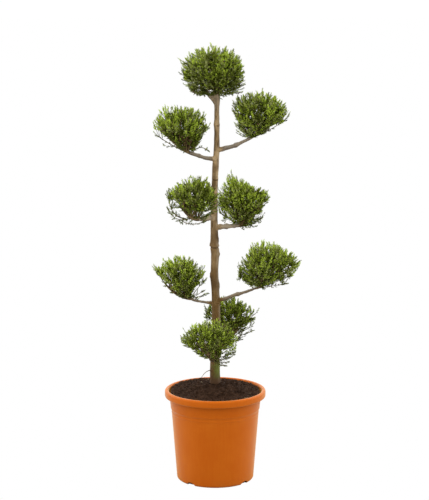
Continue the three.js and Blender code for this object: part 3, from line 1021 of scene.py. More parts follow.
@dataclass(frozen=True)
class PomponPlan:
    """One pompon on its bough: where the bough leaves the trunk, and the clump's place, size and form.

    Openness thins its lower parts. Bulges swell the outline seen from the front, each by its direction in
    degrees anticlockwise from the right and by a share. Strays are the tips of plumes that stand out of
    the clump, and the length of their sprays unless they are slender. Gaps let the sky through and dry
    spots are dead foliage, each by its place and radius. Places are across and up, as the camera sees them
    at the depth of the pot's axis. Knots thicken the bough, each by its share of the way along and its
    size, and girth is the bough's share of the usual thickness. Arch is how far below its own line the
    bough leaves the trunk, and foot shift moves its outer end up. Light makes the leaves' tints lighter.
    """

    name: str
    fork: float
    azimuth: float
    reach: float
    middle: float
    width: float
    tall: float
    flare: float
    openness: float
    bulges: tuple[Pair, ...]
    strays: tuple[tuple[float, ...], ...]
    forks: tuple[Fork, ...]
    gaps: tuple[Triple, ...] = ()
    dry_spots: tuple[Triple, ...] = ()
    knots: tuple[Pair, ...] = ()
    girth: float = 1.0
    arch: float = 0.0
    foot_shift: float = 0.0
    level_rise: float = 0.4
    # Painted light on the whole clump's tints; below 0 it is painted shade, as on the bottom-back clump
    # behind the trunk.
    light: float = 0.0


PLANS = (
    PomponPlan(
        name="upper_left", fork=897, azimuth=198, reach=95, middle=984, width=154, tall=120, flare=0.7,
        openness=0.5, foot_shift=-11.0, light=-0.06,
        bulges=((140, 0.08), (118, 0.04), (60, -0.04), (40, 0.05), (5, -0.08), (195, -0.03), (218, -0.09),
            (270, 0.05)),
        strays=((-14, 994), (-20, 984), (-32, 1022, 12), (-27, 1015, 11), (-140, 1034, 12), (-166, 971),
            (-140, 937, 10), (-24, 926)),
        forks=(Fork((-106, 924), (-156, 960), 9), Fork((-44, 940), (-19, 920), 11, 0.3),
            Fork((-62, 950), (-22, 984), 10, 0.3)),
        gaps=((-138, 1011, 4), (-124, 1027, 3), (-35, 926, 5), (-28, 994, 4), (-156, 969, 4)),
        dry_spots=((-76, 950, 15),),
        knots=((0.62, 1.3),),
    ),
    PomponPlan(
        name="upper_right", fork=921, azimuth=9, reach=126, middle=1015, width=160, tall=131,
        flare=0.75, openness=0.55, light=0.08,
        bulges=((30, -0.11), (4, 0.06), (150, 0.09), (90, 0.02), (320, -0.09), (230, -0.06)),
        strays=((47, 1033, 10), (60, 1060, 11), (56, 1048, 10), (50, 1052, 11), (48, 1041, 11),
            (54, 994, 12), (58, 984, 12), (60, 974, 12), (58, 968, 10), (201, 1023, 10), (197, 1013, 11),
            (190, 1033, 11)),
        forks=(Fork((140, 968), (184, 1000), 12, 0.4),),
        gaps=((95, 1011, 3), (84, 982, 3), (62, 962, 3), (120, 960, 5), (158, 986, 4), (187, 1009, 3),
            (154, 1066, 3)),
        knots=((0.55, 1.8),),
    ),
    PomponPlan(
        name="mid_left", fork=738, azimuth=219, reach=79, middle=795, width=148, tall=124, flare=0.6,
        openness=0.75, girth=1.12, arch=6.0,
        bulges=((140, -0.17), (75, 0.07), (22, -0.16), (342, 0.12), (270, -0.14), (222, -0.2)),
        strays=((-131, 806, 11), (-126, 812, 11), (-134, 800), (-94, 721), (-110, 733), (-80, 729),
            (5, 781, 13), (-2, 774, 13), (7, 769, 13), (0, 762, 13), (5, 755, 12), (-5, 752, 12)),
        forks=(Fork((-122, 736), (-127, 790), 14, 0.4, (-80, 733)),
            Fork((-116, 728), (-130, 762), 13, 0.25, (-86, 730)),
            Fork((-68, 711), (-34, 723), 8, 0.25, (-90, 727)), Fork((-75, 735), (-96, 729), 13, 0.4)),
        gaps=((-112, 782, 3), (-103, 771, 4), (-95, 760, 4), (-88, 749, 3), (-54, 746, 7), (-40, 746, 6),
            (-66, 742, 5), (-28, 747, 4), (-118, 779, 4), (-56, 731, 4), (-65, 838, 4), (-84, 833, 4),
            (-103, 731, 4), (-17, 753, 4)),
        dry_spots=((-66, 742, 11),),
        knots=((0.4, 1.2), (0.75, 1.5)),
    ),
    PomponPlan(
        name="mid_right", fork=712, azimuth=19, reach=88, middle=779, width=150, tall=146, flare=0.6,
        openness=0.6, girth=1.12, arch=6.0, light=0.18,
        bulges=((92, -0.24), (66, -0.28), (38, -0.22), (8, 0.11), (345, -0.15), (118, 0.13), (195, 0.12),
            (310, 0.12)),
        strays=((41, 848, 13), (43, 860, 10), (44, 866, 7), (37, 842, 13), (46, 842, 13), (37, 852, 12),
            (48, 850, 12), (31, 842, 12), (33, 834, 12), (52, 838, 12), (128, 736), (123, 724),
            (113, 713), (134, 748), (14, 750, 10), (20, 728), (20, 770, 12), (17, 759, 11), (10, 795, 12),
            (12, 787, 13), (9, 779, 13), (11, 771, 13), (10, 763, 12), (13, 755, 11)),
        forks=(Fork((95, 708), (122, 732), 12, 0.4), Fork((46, 734), (22, 742), 9, 0.3)),
        gaps=((81, 782, 2), (120, 742, 4), (108, 737, 3), (38, 726, 6), (112, 816, 5), (133, 775, 4),
            (125, 813, 4), (22, 745, 4), (21, 811, 3)),
        dry_spots=((73, 718, 10),),
        knots=((0.24, 1.5), (0.5, 2.6), (0.8, 1.4)),
    ),
    PomponPlan(
        name="lower_left", fork=497, azimuth=168, reach=99, middle=565, width=154, tall=124, flare=0.75,
        openness=0.65, girth=0.66, arch=4.0, light=0.17,
        bulges=((165, -0.07), (200, -0.32), (222, -0.17), (35, -0.14), (305, -0.12)),
        strays=((-26, 565, 11), (-172, 600, 10), (-168, 604, 10), (-162, 598, 12), (-30, 600, 10),
            (-36, 598, 12)),
        forks=(Fork((-126, 514), (-160, 590), 13, 1.1), Fork((-55, 534), (-32, 558), 10, 0.3),
            Fork((-50, 514), (-22, 524), 12, 0.3), Fork((-54, 518), (-33, 532), 12, 0.3)),
        gaps=((-46, 541, 7), (-57, 531, 6), (-131, 580, 3), (-126, 566, 4), (-119, 552, 3), (-99, 508, 7),
            (-85, 503, 7), (-115, 518, 6), (-130, 534, 4), (-49, 522, 5), (-147, 564, 4), (-39, 563, 4),
            (-58, 607, 3)),
    ),
    PomponPlan(
        name="lower_right", fork=501, azimuth=352, reach=146, middle=606, width=171, tall=136,
        flare=0.5, openness=0.6, girth=0.82, level_rise=1.0, light=0.08,
        bulges=((160, -0.2), (194, 0.08), (128, 0.05), (45, -0.14), (222, -0.08), (245, -0.18),
            (282, -0.18), (338, 0.14), (355, 0.04), (105, 0.04)),
        strays=((66, 592, 11), (65, 581, 11), (67, 572, 10), (62, 565), (198, 564), (187, 556),
            (210, 576), (224, 592, 10), (227, 602, 10)),
        forks=(Fork((170, 555), (202, 574), 11, 0.4), Fork((165, 547), (197, 553), 11, 0.3),
            Fork((90, 560), (69, 571), 11, 0.4)),
        gaps=((82, 603, 3), (89, 592, 3), (140, 563, 3), (169, 558, 3)),
        knots=((0.55, 1.9),),
    ),
    PomponPlan(
        name="bottom_front", fork=338, azimuth=259, reach=79, middle=409, width=156, tall=121,
        flare=0.6, openness=0.8, light=-0.03,
        bulges=((240, -0.25), (125, -0.14), (80, -0.07), (150, -0.05), (180, 0.03), (213, 0.06),
            (275, -0.1)),
        strays=((57, 362), (52, 352), (48, 367), (36, 357), (50, 380, 10), (-88, 426), (-94, 404, 11),
            (-92, 396, 11)),
        forks=(Fork((20, 334), (42, 345), 11, 0.3), Fork((16, 326), (36, 331), 10, 0.25),
            Fork((9, 322), (30, 320), 9, 0.25), Fork((26, 346), (54, 360), 10, 0.3),
            Fork((-30, 357), (-62, 390), 11, 0.35)),
        gaps=((-47, 409, 4), (-45, 396, 3), (-27, 391, 3), (-37, 366, 4), (-27, 352, 3), (22, 364, 4),
            (40, 366, 3)),
    ),
    PomponPlan(
        name="bottom_back", fork=378, azimuth=58, reach=90, middle=440, width=152, tall=124, flare=0.55,
        openness=0.95, light=-0.28,
        bulges=((55, -0.19), (30, -0.08), (5, -0.07), (325, 0.0), (160, 0.02)),
        strays=((120, 482), (112, 470), (110, 456), (101, 431), (98, 421), (92, 425), (85, 413),
            (76, 419), (66, 399), (70, 405), (82, 405), (106, 442), (-26, 486, 10), (-30, 468, 10),
            (-28, 457), (-30, 492), (-20, 476, 11)),
        forks=(Fork((80, 440), (110, 468), 11, 0.35), Fork((0, 436), (-26, 474), 11, 0.35),
            Fork((70, 416), (98, 430), 10, 0.3), Fork((66, 404), (104, 420), 9, 0.25),
            Fork((46, 390), (74, 395), 9, 0.25)),
        gaps=((50, 417, 4), (68, 426, 4), (60, 404, 4), (84, 422, 3), (76, 438, 3), (27, 478, 3),
            (92, 436, 3), (89, 423, 7), (59, 418, 6), (79, 467, 5), (106, 464, 5), (87, 486, 4)),
    ),
)
TOP_PLAN = PomponPlan(
    name="top", fork=1074, azimuth=180, reach=7, middle=1136, width=177, tall=133, flare=0.36,
    openness=0.1, light=0.05,
    bulges=((325, 0.2), (340, 0.05), (215, 0.17), (240, 0.05), (112, 0.08), (86, -0.05), (55, 0.06),
        (15, -0.09), (165, 0.03), (140, -0.02), (180, -0.03), (275, -0.06), (300, -0.06)),
    strays=((-97, 1168, 10), (-93, 1162, 11), (-90, 1156, 11), (-96, 1130, 10), (-88, 1112, 11),
        (-84, 1100), (-48, 1074)),
    forks=(Fork((-26, 1078), (-52, 1094), 12, 0.4), Fork((16, 1080), (40, 1098), 12, 0.3)),
    gaps=((-51, 1151, 3),),
)


@dataclass
class Bough:
    """One bough: it leaves the trunk almost level and turns up to its pompon's foot."""

    plan: PomponPlan
    trunk: Trunk
    radii: Pair = (6.1, 4.5)
    collar: float = 1.4
    collar_share: float = 0.2
    level_share: float = 0.55
    arch_share: float = 0.22
    wander: float = 2.8
    wander_size: float = 26
    wander_shift: float = 40
    knot_share: float = 0.05
    foot_reach: float = 0.78
    foot_drop: float = 0.93
    fine_steps: int = 200
    seed: int = 7

    def line(self) -> Array:
        """Closely set points along the bough's middle."""
        plan = self.plan
        start = self.trunk.middle(plan.fork)
        end = heading(plan.azimuth) * plan.reach * self.foot_reach
        end[2] = plan.middle - self.foot_drop * plan.tall / 2 + plan.foot_shift
        level = mix(start, end, self.level_share)
        level[2] = mix(start[2], level[2], plan.level_rise)
        points = curve(start, level, end, self.fine_steps)
        points[:, 2] -= plan.arch * np.exp(-np.linspace(0, 1, self.fine_steps) / self.arch_share)
        loose = np.sin(np.linspace(0, math.pi, self.fine_steps))[:, None] * self.wander
        return points + loose * np.column_stack([
            smooth_noise(points + self.wander_shift * axis, self.wander_size, self.seed + axis)
            for axis in range(3)
        ])

    def path(self, spacing: float) -> Beads:
        """Points along the bough at a spacing, and its radius there."""
        line = self.line()
        length = lengths(np.diff(line, axis=0)).sum()
        count = math.ceil(length / spacing) + 1
        share = np.linspace(0, 1, count)
        radius = mix(*self.radii, share) * self.plan.girth
        radius = radius + self.collar * np.exp(-share / self.collar_share)
        for place, size in self.plan.knots:
            radius = radius + size * bell((share - place) / self.knot_share)
        return even_steps(line, count), radius


@dataclass
class Spur:
    """The short limb that the trunk forks off to the left under the top pompon."""

    trunk: Trunk
    root_height: float = 1044
    lead: Triple = (-6, -1, 1062)
    end: Triple = (-30, -3, 1082)
    slant: float = 1.2
    radii: Pair = (5.8, 4.0)

    def path(self, spacing: float) -> Beads:
        """Points along the spur at a spacing, and its radius there."""
        count = math.ceil((self.end[2] - self.root_height) * self.slant / spacing) + 1
        points = curve(self.trunk.middle(self.root_height), np.array(self.lead), np.array(self.end), count)
        return points, np.linspace(*self.radii, count)


class MarkKind(Enum):
    """What a mark on the bark is."""

    RING = "ring"
    KNOT = "knot"


@dataclass(frozen=True)
class BarkMark:
    """A mark on the trunk: a scarred ring round it, or a knot at an azimuth. A knot that isn't proud is a
    flat dark patch: a stain, and in one place painted shadow under a bough.
    """

    kind: MarkKind
    height: float
    azimuth: float = 0.0
    size: float = 6.0
    proud: float = 1.0
    dark: float = 0.8


# Each ring by its height, its size and how proud it is.
RINGS = ((990, 3.2, 0.7), (843, 3.0, 0.6), (656, 4.4, 1.7))
# Each knot by its height, its azimuth, its size, how proud it is and, where it is a flat patch, how dark.
KNOTS = (
    (674, 0, 8, 1.8), (661, 180, 7, 1.6), (634, 345, 7, 2.0), (576, 190, 9, 3.4), (547, 355, 9, 2.6),
    (802, 300, 6, 1.0), (880, 60, 7, 1.2), (630, 95, 8, 1.6), (312, 235, 9, 2.2), (460, 130, 8, 1.6),
    # Two flat patches: at 685 the painted shadow that the mid-right bough casts on the trunk below it, and
    # at 554 a stain.
    (685, 345, 54, 0, 1.0), (554, 245, 70, 0, 0.7),
)
BARK_MARKS = (
    *(BarkMark(MarkKind.RING, height, size=size, proud=proud) for height, size, proud in RINGS),
    *(BarkMark(MarkKind.KNOT, *knot) for knot in KNOTS),
)


@dataclass
class Limbs:
    """Trunk, boughs and spur as one surface, with the relief of their bark.

    Grain and lumps are pairs of a width and a share of the furrows' height. Grain runs along the limbs.
    """

    trunk: Trunk
    boughs: list[Bough]
    spur: Spur
    spacing: float = 2.0
    sides: int = 40
    thinnest: float = 1.5
    swell: float = 1.35
    swell_size: float = 17
    swell_shares: Pair = (0.2, 0.8)
    swell_shift: float = 50
    voxel: float = 1.25
    smoothing: int = 5
    sunk: float = 2
    search_spacing: float = 4.0
    search_rows: int = 4000
    limb_gap: float = 3000
    furrow: float = 0.42
    grain_stretch: float = 8.0
    fine_grain: Pair = (2.4, 1.0)
    coarse_grain: Pair = (5.5, 1.1)
    lumps: Pair = (14, 0.9)
    ring_wave: float = 2.4
    ring_wave_size: float = 14
    ring_breaks: Pair = (0.75, 1.1)
    ring_break_size: float = 9
    groove_drop: float = 0.6
    groove_width: float = 2.1
    groove_depth: float = 1.5
    knot_flatness: float = 0.8
    knot_dome: float = 1.5
    knot_pit: float = 4.5
    knot_pit_depth: float = 0.7
    knot_stain: float = 3.2
    bark_edge: float = 2
    bark_blend: float = 14.0
    moss_low: float = 276
    moss_high: float = 360
    moss_fades: Pair = (14, 30)
    moss_size: float = 11
    moss_unevenness: float = 0.3
    seed: int = 31

    def paths(self, spacing: float) -> list[Beads]:
        """Points and radii of every limb."""
        return [limb.path(spacing) for limb in (self.trunk, *self.boughs, self.spur)]

    def beads(self, spacing: float = 6.0) -> Beads:
        """Beads strung along all limbs, which foliage keeps clear of."""
        paths = self.paths(spacing)
        return np.concatenate([p for p, _ in paths]), np.concatenate([r for _, r in paths])

    def joined(self) -> Mesh:
        """All limbs grown together, with soft crotches."""
        shape = Mesher()
        for number, (path, radii) in enumerate(self.paths(self.spacing)):
            if number:
                swell = smooth_noise(path + number * self.swell_shift, self.swell_size, self.seed)
                radii = radii + swell * self.swell * np.linspace(*self.swell_shares, len(path))
            shape.add(*tubes(path[None], np.maximum(radii, self.thinnest)[None], self.sides))
        grown = {"mode": "VOXEL", "voxel_size": self.voxel * MM}
        return after_modifier(shape.mesh("limbs_bark"), "REMESH", **grown)

    def smoothed(self, mesh: Mesh) -> Array:
        """The mesh's points after some rounds of smoothing, in millimetres."""
        points = np.empty(len(mesh.vertices) * 3, np.float32)
        mesh.vertices.foreach_get("co", points)
        points = points.reshape(-1, 3).astype(float) / MM
        edges = np.empty(len(mesh.edges) * 2, np.int32)
        mesh.edges.foreach_get("vertices", edges)
        first, second = edges.reshape(-1, 2).T
        count = np.bincount(edges, minlength=len(points))[:, None]
        for _ in range(self.smoothing):
            total = np.zeros_like(points)
            np.add.at(total, first, points[second])
            np.add.at(total, second, points[first])
            points = mix(points, total / count, 0.5)
        return points

    def nearest(self, points: Array) -> tuple[Array, Array, Array]:
        """The limb's middle, heading and place along it nearest to each point.

        A place is a length from the limb's foot, and each limb's places start a gap after the one before.
        """
        middles, ways, places = [], [], []
        for number, (path, _) in enumerate(self.paths(self.search_spacing)):
            middles.append(path)
            ways.append(headings(path))
            length = self.search_spacing * len(path)
            places.append(np.linspace(0, length, len(path)) + self.limb_gap * number)
        middle, way, place = np.concatenate(middles), np.concatenate(ways), np.concatenate(places)
        found = np.empty(len(points), int)
        for start in range(0, len(points), self.search_rows):
            part = points[start : start + self.search_rows]
            gaps = ((part[:, None] - middle) ** 2).sum(axis=2)
            found[start : start + self.search_rows] = gaps.argmin(axis=1)
        return middle[found], way[found], place[found]

    def ring(self, mark: BarkMark, points: Array) -> tuple[Array, Array]:
        """How far a ring makes the bark stand proud at points, and how dark it makes it."""
        wave = smooth_noise(points, self.ring_wave_size, self.seed + 3) * self.ring_wave
        above = points[:, 2] - mark.height + wave
        usual, change = self.ring_breaks
        whole = np.clip(usual + smooth_noise(points, self.ring_break_size, self.seed + 4) * change, 0, 1)
        groove = bell((above + mark.size * self.groove_drop) / self.groove_width) * whole
        return mark.proud * (bell(above / mark.size) - self.groove_depth * groove), groove

    def knot(self, mark: BarkMark, points: Array, out: Array) -> tuple[Array, Array]:
        """How far a knot makes the bark stand proud at points, and how dark it makes it."""
        azimuth = np.degrees(np.arctan2(out[:, 1], out[:, 0]))
        turn = (azimuth - mark.azimuth + 180) % 360 - 180
        side = np.radians(turn) * lengths(out)
        gap = np.hypot(side, (points[:, 2] - mark.height) * self.knot_flatness) / mark.size
        dome = bell(gap * self.knot_dome) - self.knot_pit_depth * bell(gap * self.knot_pit)
        return mark.proud * dome, mark.dark * bell(gap * self.knot_stain)

    def shades(self, points: Array, out: Array) -> dict[str, Array]:
        """How mossy the bark is at points, how much painted light it gets (more on the tops of boughs and
        on the trunk's right side), and how much of it is the trunk's own.
        """
        height, away = points[:, 2], unit(out)
        low, high = self.moss_fades
        mossy = np.clip((self.moss_high - height) / high, 0, 1)
        mossy = mossy * np.clip((height - self.moss_low) / low, 0, 1)
        uneven = self.moss_unevenness * smooth_noise(points, self.moss_size, self.seed + 5)
        side = np.clip(0.5 + 0.5 * away[:, 0] + uneven, 0, 1)
        across = (points - self.trunk.middle(height))[:, :2]
        off_trunk = lengths(across) - self.trunk.radius(height)
        stem = 1 - np.clip((off_trunk - self.bark_edge) / self.bark_blend, 0, 1)
        # The painted light follows how far the bark faces up on boughs and how far it faces +X on the
        # trunk.
        return {"moss": mossy * side, "painted_light": 0.5 + 0.5 * mix(away[:, 2], away[:, 0], stem), "stem": stem}

    def relief(self, points: Array) -> tuple[Array, dict[str, Array]]:
        """How far the bark stands proud at points, and the values that its finish reads there."""
        middle, way, place = self.nearest(points)
        is_trunk = place < self.limb_gap
        out = points - middle
        along = (out * way).sum(axis=1, keepdims=True)
        grain = out - along * way + way * ((place[:, None] + along) / self.grain_stretch)
        layers = ((grain, *self.fine_grain), (grain, *self.coarse_grain), (points, *self.lumps))
        proud, scar_and_shadow = np.zeros(len(points)), np.zeros(len(points))
        for number, (places, width, share) in enumerate(layers):
            proud += smooth_noise(places, width, self.seed + number) * self.furrow * share
        # The darkness of rings and knots, with the painted shadow of the flat patch under the mid-right
        # bough, goes into one value.
        for mark in BARK_MARKS:
            is_ring = mark.kind is MarkKind.RING
            high, dark = self.ring(mark, points) if is_ring else self.knot(mark, points, out)
            proud += high * is_trunk
            scar_and_shadow = np.maximum(scar_and_shadow, dark * is_trunk)
        shades = self.shades(points, out)
        shades["moss"] = shades["moss"] * is_trunk
        return proud, {"scar_and_shadow": scar_and_shadow, **shades}

    def dress(self, finish: BarkFinish) -> None:
        """Makes the limbs' piece."""
        mesh = self.joined()
        points = self.smoothed(mesh)
        proud, marks = self.relief(points)
        mesh.vertices.foreach_set("co", (points * MM).astype(np.float32).ravel())
        mesh.update()
        normals = np.empty(len(points) * 3, np.float32)
        mesh.vertices.foreach_get("normal", normals)
        points += normals.reshape(-1, 3) * proud[:, None]
        points[:, 2] = np.maximum(points[:, 2], self.trunk.foot_height - self.sunk)
        mesh.vertices.foreach_set("co", (points * MM).astype(np.float32).ravel())
        for name, values in marks.items():
            mesh.attributes.new(name, "FLOAT", "POINT").data.foreach_set("value", values.astype(np.float32))
        mesh.update()
        nodes = ("trunk", *(f"bough_{bough.plan.name}" for bough in self.boughs))
        piece_of(mesh, finish.material(), nodes)


@dataclass
class Wisp:
    """A dead shoot that arches out of the trunk's foot."""

    start: Triple = (-8, 4, 307)
    lead: Triple = (-26, -2, 310)
    end: Triple = (-39, -6, 287)
    radii: Pair = (1.2, 0.6)
    steps: int = 16
    sides: int = 6
    twist: Triple = (0.6, 0.8, 0.6)
    twist_size: float = 9
    seed: int = 3

    def dress(self, finish: TwigFinish) -> None:
        """Makes the shoot's piece."""
        path = curve(np.array(self.start), np.array(self.lead), np.array(self.end), self.steps)
        path = path + smooth_noise(path, self.twist_size, self.seed)[:, None] * np.array(self.twist)
        radii = np.linspace(*self.radii, self.steps)
        mesh = mesh_of("trunk_wisp", *tubes(path[None], radii[None], self.sides))
        piece_of(mesh, finish.material(), ("trunk",))


# Foliage

@dataclass
class Clump:
    """The space of one pompon: it opens from its foot like a vase and closes over as a dome."""

    plan: PomponPlan
    foot: Array
    seed: int
    widest: float = 0.1
    foot_width: float = 0.14
    lump: float = 0.06
    lump_size: float = 0.55
    bulge_width: float = 30.0

    def __post_init__(self) -> None:
        """Works out the clump's middle and half sizes."""
        self.middle = heading(self.plan.azimuth) * self.plan.reach
        self.middle[2] = self.plan.middle
        self.half_width = self.plan.width / 2
        self.half_tall = self.plan.tall / 2

    def section(self, heights: Array) -> tuple[Array, Array]:
        """The middle and the radius of level sections at heights."""
        rise = np.clip((heights - self.middle[2]) / self.half_tall, -1, 1)
        opening = np.minimum(1, (rise + 1) / (1 + self.widest))
        closing = np.maximum(0, (rise - self.widest) / (1 - self.widest))
        radius = self.half_width * mix(self.foot_width, 1, opening**self.plan.flare)
        radius = radius * np.sqrt(1 - closing**2)
        centre = mix(self.foot, self.middle, opening[:, None])
        centre[:, 2] = heights
        return centre, radius

    def outside(self, directions: Array) -> Array:
        """The points of the clump's uneven outside towards unit directions."""
        centre, radius = self.section(self.middle[2] + directions[:, 2] * self.half_tall)
        level = unit(directions * [1, 1, 0])
        points = centre + level * radius[:, None]
        swell = self.lump * smooth_noise(directions + 7, self.lump_size, self.seed)
        out = points - self.middle
        turn = np.degrees(np.arctan2(out[:, 2], out[:, 0]))
        for way, share in self.plan.bulges:
            aside = (turn - way + 180) % 360 - 180
            swell += share * bell(aside / self.bulge_width) * (1 - directions[:, 1] ** 2)
        return mix(self.middle, points, 1 + swell[:, None])


@dataclass(frozen=True)
class GrowthRule:
    """How twigs leave what carries them: they lean forward, and turn towards their own tips."""

    lean: float = 0.7
    root_shares: Pair = (0.06, 0.95)
    lead: float = 0.42
    forward: float = 0.55
    dip: float = 0.2
    fan: float = 0.62
    upright: float = 0.4

    def roots(self, parents: Array, tips: Array) -> tuple[Array, Array]:
        """Where twigs leave their parents, and the parents' headings there.

        Args:
            parents: The path of each twig's parent, as twigs by points by 3.
            tips: Where each twig ends.

        Returns:
            The roots and the headings.
        """
        start = parents[:, 0]
        chord = parents[:, -1] - start
        length = lengths(chord)
        ahead = chord / length[:, None]
        to_tip = tips - start
        nearest = (to_tip * ahead).sum(axis=1)
        away = lengths(to_tip - nearest[:, None] * ahead)
        return along(parents, np.clip((nearest - self.lean * away) / length, *self.root_shares))

    def twigs(self, parents: Array, tips: Array, count: int, source: Array) -> Array:
        """The paths of twigs from their parents to their tips.

        Args:
            parents: The path of each twig's parent, as twigs by points by 3.
            tips: Where each twig ends.
            count: How many points a path gets.
            source: The place that all tips point away from.

        Returns:
            The paths, as twigs by points by 3.
        """
        roots, ways = self.roots(parents, tips)
        reach = tips - roots
        length = lengths(reach)[:, None]
        lead = roots + unit(mix(unit(reach), ways, self.forward)) * length * self.lead
        lead -= UP * self.dip * length
        away = unit(mix(unit(tips - source), UP, self.upright))
        fanned = tips - away * length * (1 - self.lead)
        return curve(roots, mix(lead, fanned, self.fan), tips, count)


@dataclass
class SprayPattern:
    """A flat spray of scale-leaf shoots, one unit long on +Y: an axis, side shoots and their own shoots.

    Each shoot is a kite folded along its middle: four corners and two faces. Angles are in degrees. Pairs
    are a least and a greatest value, but roots and angles are those at the spray's foot and its tip, and
    starts are those of the axis's two lengths.
    """

    FACES: ClassVar[Array] = np.array([[0, 2, 1], [0, 1, 3]])

    rng: np.random.Generator
    width: float = 0.52
    thick: float = 0.145
    waist: float = 0.45
    fold: float = 0.6
    tip_fold: float = 0.3
    axis_starts: Pair = (-0.02, 0.48)
    axis_length: float = 0.54
    axis_bend: float = 0.05
    sides: int = 6
    bare_sides: int = 2
    roots: Pair = (0.08, 0.84)
    root_jitter: float = 0.3
    angles: Pair = (34, 20)
    angle_jitter: float = 6
    lengths: Pair = (0.75, 1.2)
    taper: float = 0.5
    tilt: float = 0.2
    own_angles: Pair = (30, 44)
    own_roots: Pair = (0.35, 0.6)
    own_lengths: Pair = (0.4, 0.6)
    own_tilt: float = 0.15

    def __post_init__(self) -> None:
        """Grows the axis, and the side shoots that leave it by turns, most with a shoot of their own."""
        self.shoots: list[Array] = []
        self.reach: list[float] = []
        for start in self.axis_starts:
            way = np.array([self.rng.normal(0, self.axis_bend), 1.0])
            self._shoot(np.array([0.0, start, 0.0]), way, self.axis_length, 0.0)
        for number in range(self.sides):
            self._side(number)
        self.points = np.array(self.shoots)
        self.outer = np.array(self.reach)

    def _shoot(self, root: Array, way: Array, length: float, tilt: float) -> None:
        """Adds one shoot from a root along a way in the spray's plane, tilted out of it."""
        ahead = unit(np.array([way[0], way[1], tilt]))
        side = unit(np.cross(ahead, UP)) * self.thick / 2
        ridge = np.cross(side, ahead) * self.fold
        waist = root + ahead * length * self.waist
        tip = root + ahead * length + ridge * self.tip_fold
        self.shoots.append(np.array([root + ridge, tip, waist + side - ridge, waist - side - ridge]))
        self.reach.append(root[1] + ahead[1] * length)

    def _side(self, number: int) -> None:
        """Grows one side shoot, and its own shoot unless it is one of the last."""
        rng = self.rng
        jitter = rng.uniform(-self.root_jitter, self.root_jitter)
        along = mix(*self.roots, (number + jitter) / (self.sides - 1))
        hand = 1 if number % 2 else -1
        angle = hand * math.radians(mix(*self.angles, along) + rng.normal(0, self.angle_jitter))
        length = self.width * mix(1, self.taper, along) * rng.uniform(*self.lengths)
        root = np.array([0.0, along, 0.0])
        way = np.array([math.sin(angle), math.cos(angle)])
        tilt = rng.normal(0, self.tilt)
        self._shoot(root, way, length, tilt)
        if number < self.sides - self.bare_sides:
            turn = angle + rng.choice([-1, 1]) * math.radians(rng.uniform(*self.own_angles))
            root = root + unit(np.array([*way, tilt])) * length * rng.uniform(*self.own_roots)
            way = np.array([math.sin(turn), math.cos(turn)])
            length = length * rng.uniform(*self.own_lengths)
            self._shoot(root, way, length, tilt + rng.normal(0, self.own_tilt))


def flat_across(ahead: Array, askew: float = 0.3) -> Array:
    """Unit vectors across headings and nearly level."""
    return unit(np.cross(ahead, unit(UP + askew * np.roll(ahead, 1, axis=-1))))


@dataclass
class Sprays:
    """Where sprays stand: their bases, tips, bows between, and how they are rolled and tinted."""

    base: Array
    tip: Array
    bow: Array
    roll: Array
    tint: Array
    tip_tint: Array
    pattern: Array

    def points(self, rows: Array, pattern: SprayPattern) -> Array:
        """The corners of all shoots of the sprays in some rows, as sprays by shoots by 4 by 3."""
        chord = self.tip[rows] - self.base[rows]
        length = lengths(chord)[:, None]
        ahead = chord / length
        flat = flat_across(ahead)
        over = np.cross(flat, ahead)
        cosine, sine = np.cos(self.roll[rows])[:, None], np.sin(self.roll[rows])[:, None]
        side, normal = flat * cosine + over * sine, over * cosine - flat * sine
        frames = np.stack([side, ahead, normal], axis=1) * length[:, None]
        local = pattern.points.reshape(-1, 3)
        along = np.clip(local[:, 1], 0, 1.1)
        placed = local @ frames + self.base[rows][:, None]
        placed += self.bow[rows][:, None] * (4 * along * (1 - along))[:, None]
        return placed.reshape(len(placed), -1, 4, 3)


class Plume(IntEnum):
    """Kinds of plume, by where in a clump they grow."""

    OUTER = 0
    INNER = 1
    STRAY = 2
    FORK = 3


@dataclass(frozen=True)
class LightRule:
    """How the light on a spray comes about, and the tints that it gives the spray's body and tips.

    Steps are the least light for each tint, from the lightest. This light is painted light and painted
    shade on
    the leaf colours: it is lighter higher in a clump and towards plume tips, and darker in inner plumes.
    """

    by_rise: float = 0.42
    by_patch: float = 0.22
    patch_size: float = 30
    by_spray: float = 0.55
    by_plume: float = 0.24
    by_bearer: float = 0.28
    along: float = 0.45
    along_middle: float = 0.6
    body_steps: Pair = (0.6, -0.35)
    tip_steps: Triple = (0.36, -0.1, -0.65)
    underside_size: float = 24
    underside_fall: float = 0.3
    underside_chance: float = 0.5
    underside_step: float = 0.3
    dry_rise: float = -0.2
    dry_low: float = 0.04
    dry_high: float = 0.01
    dry_spot: float = 0.75


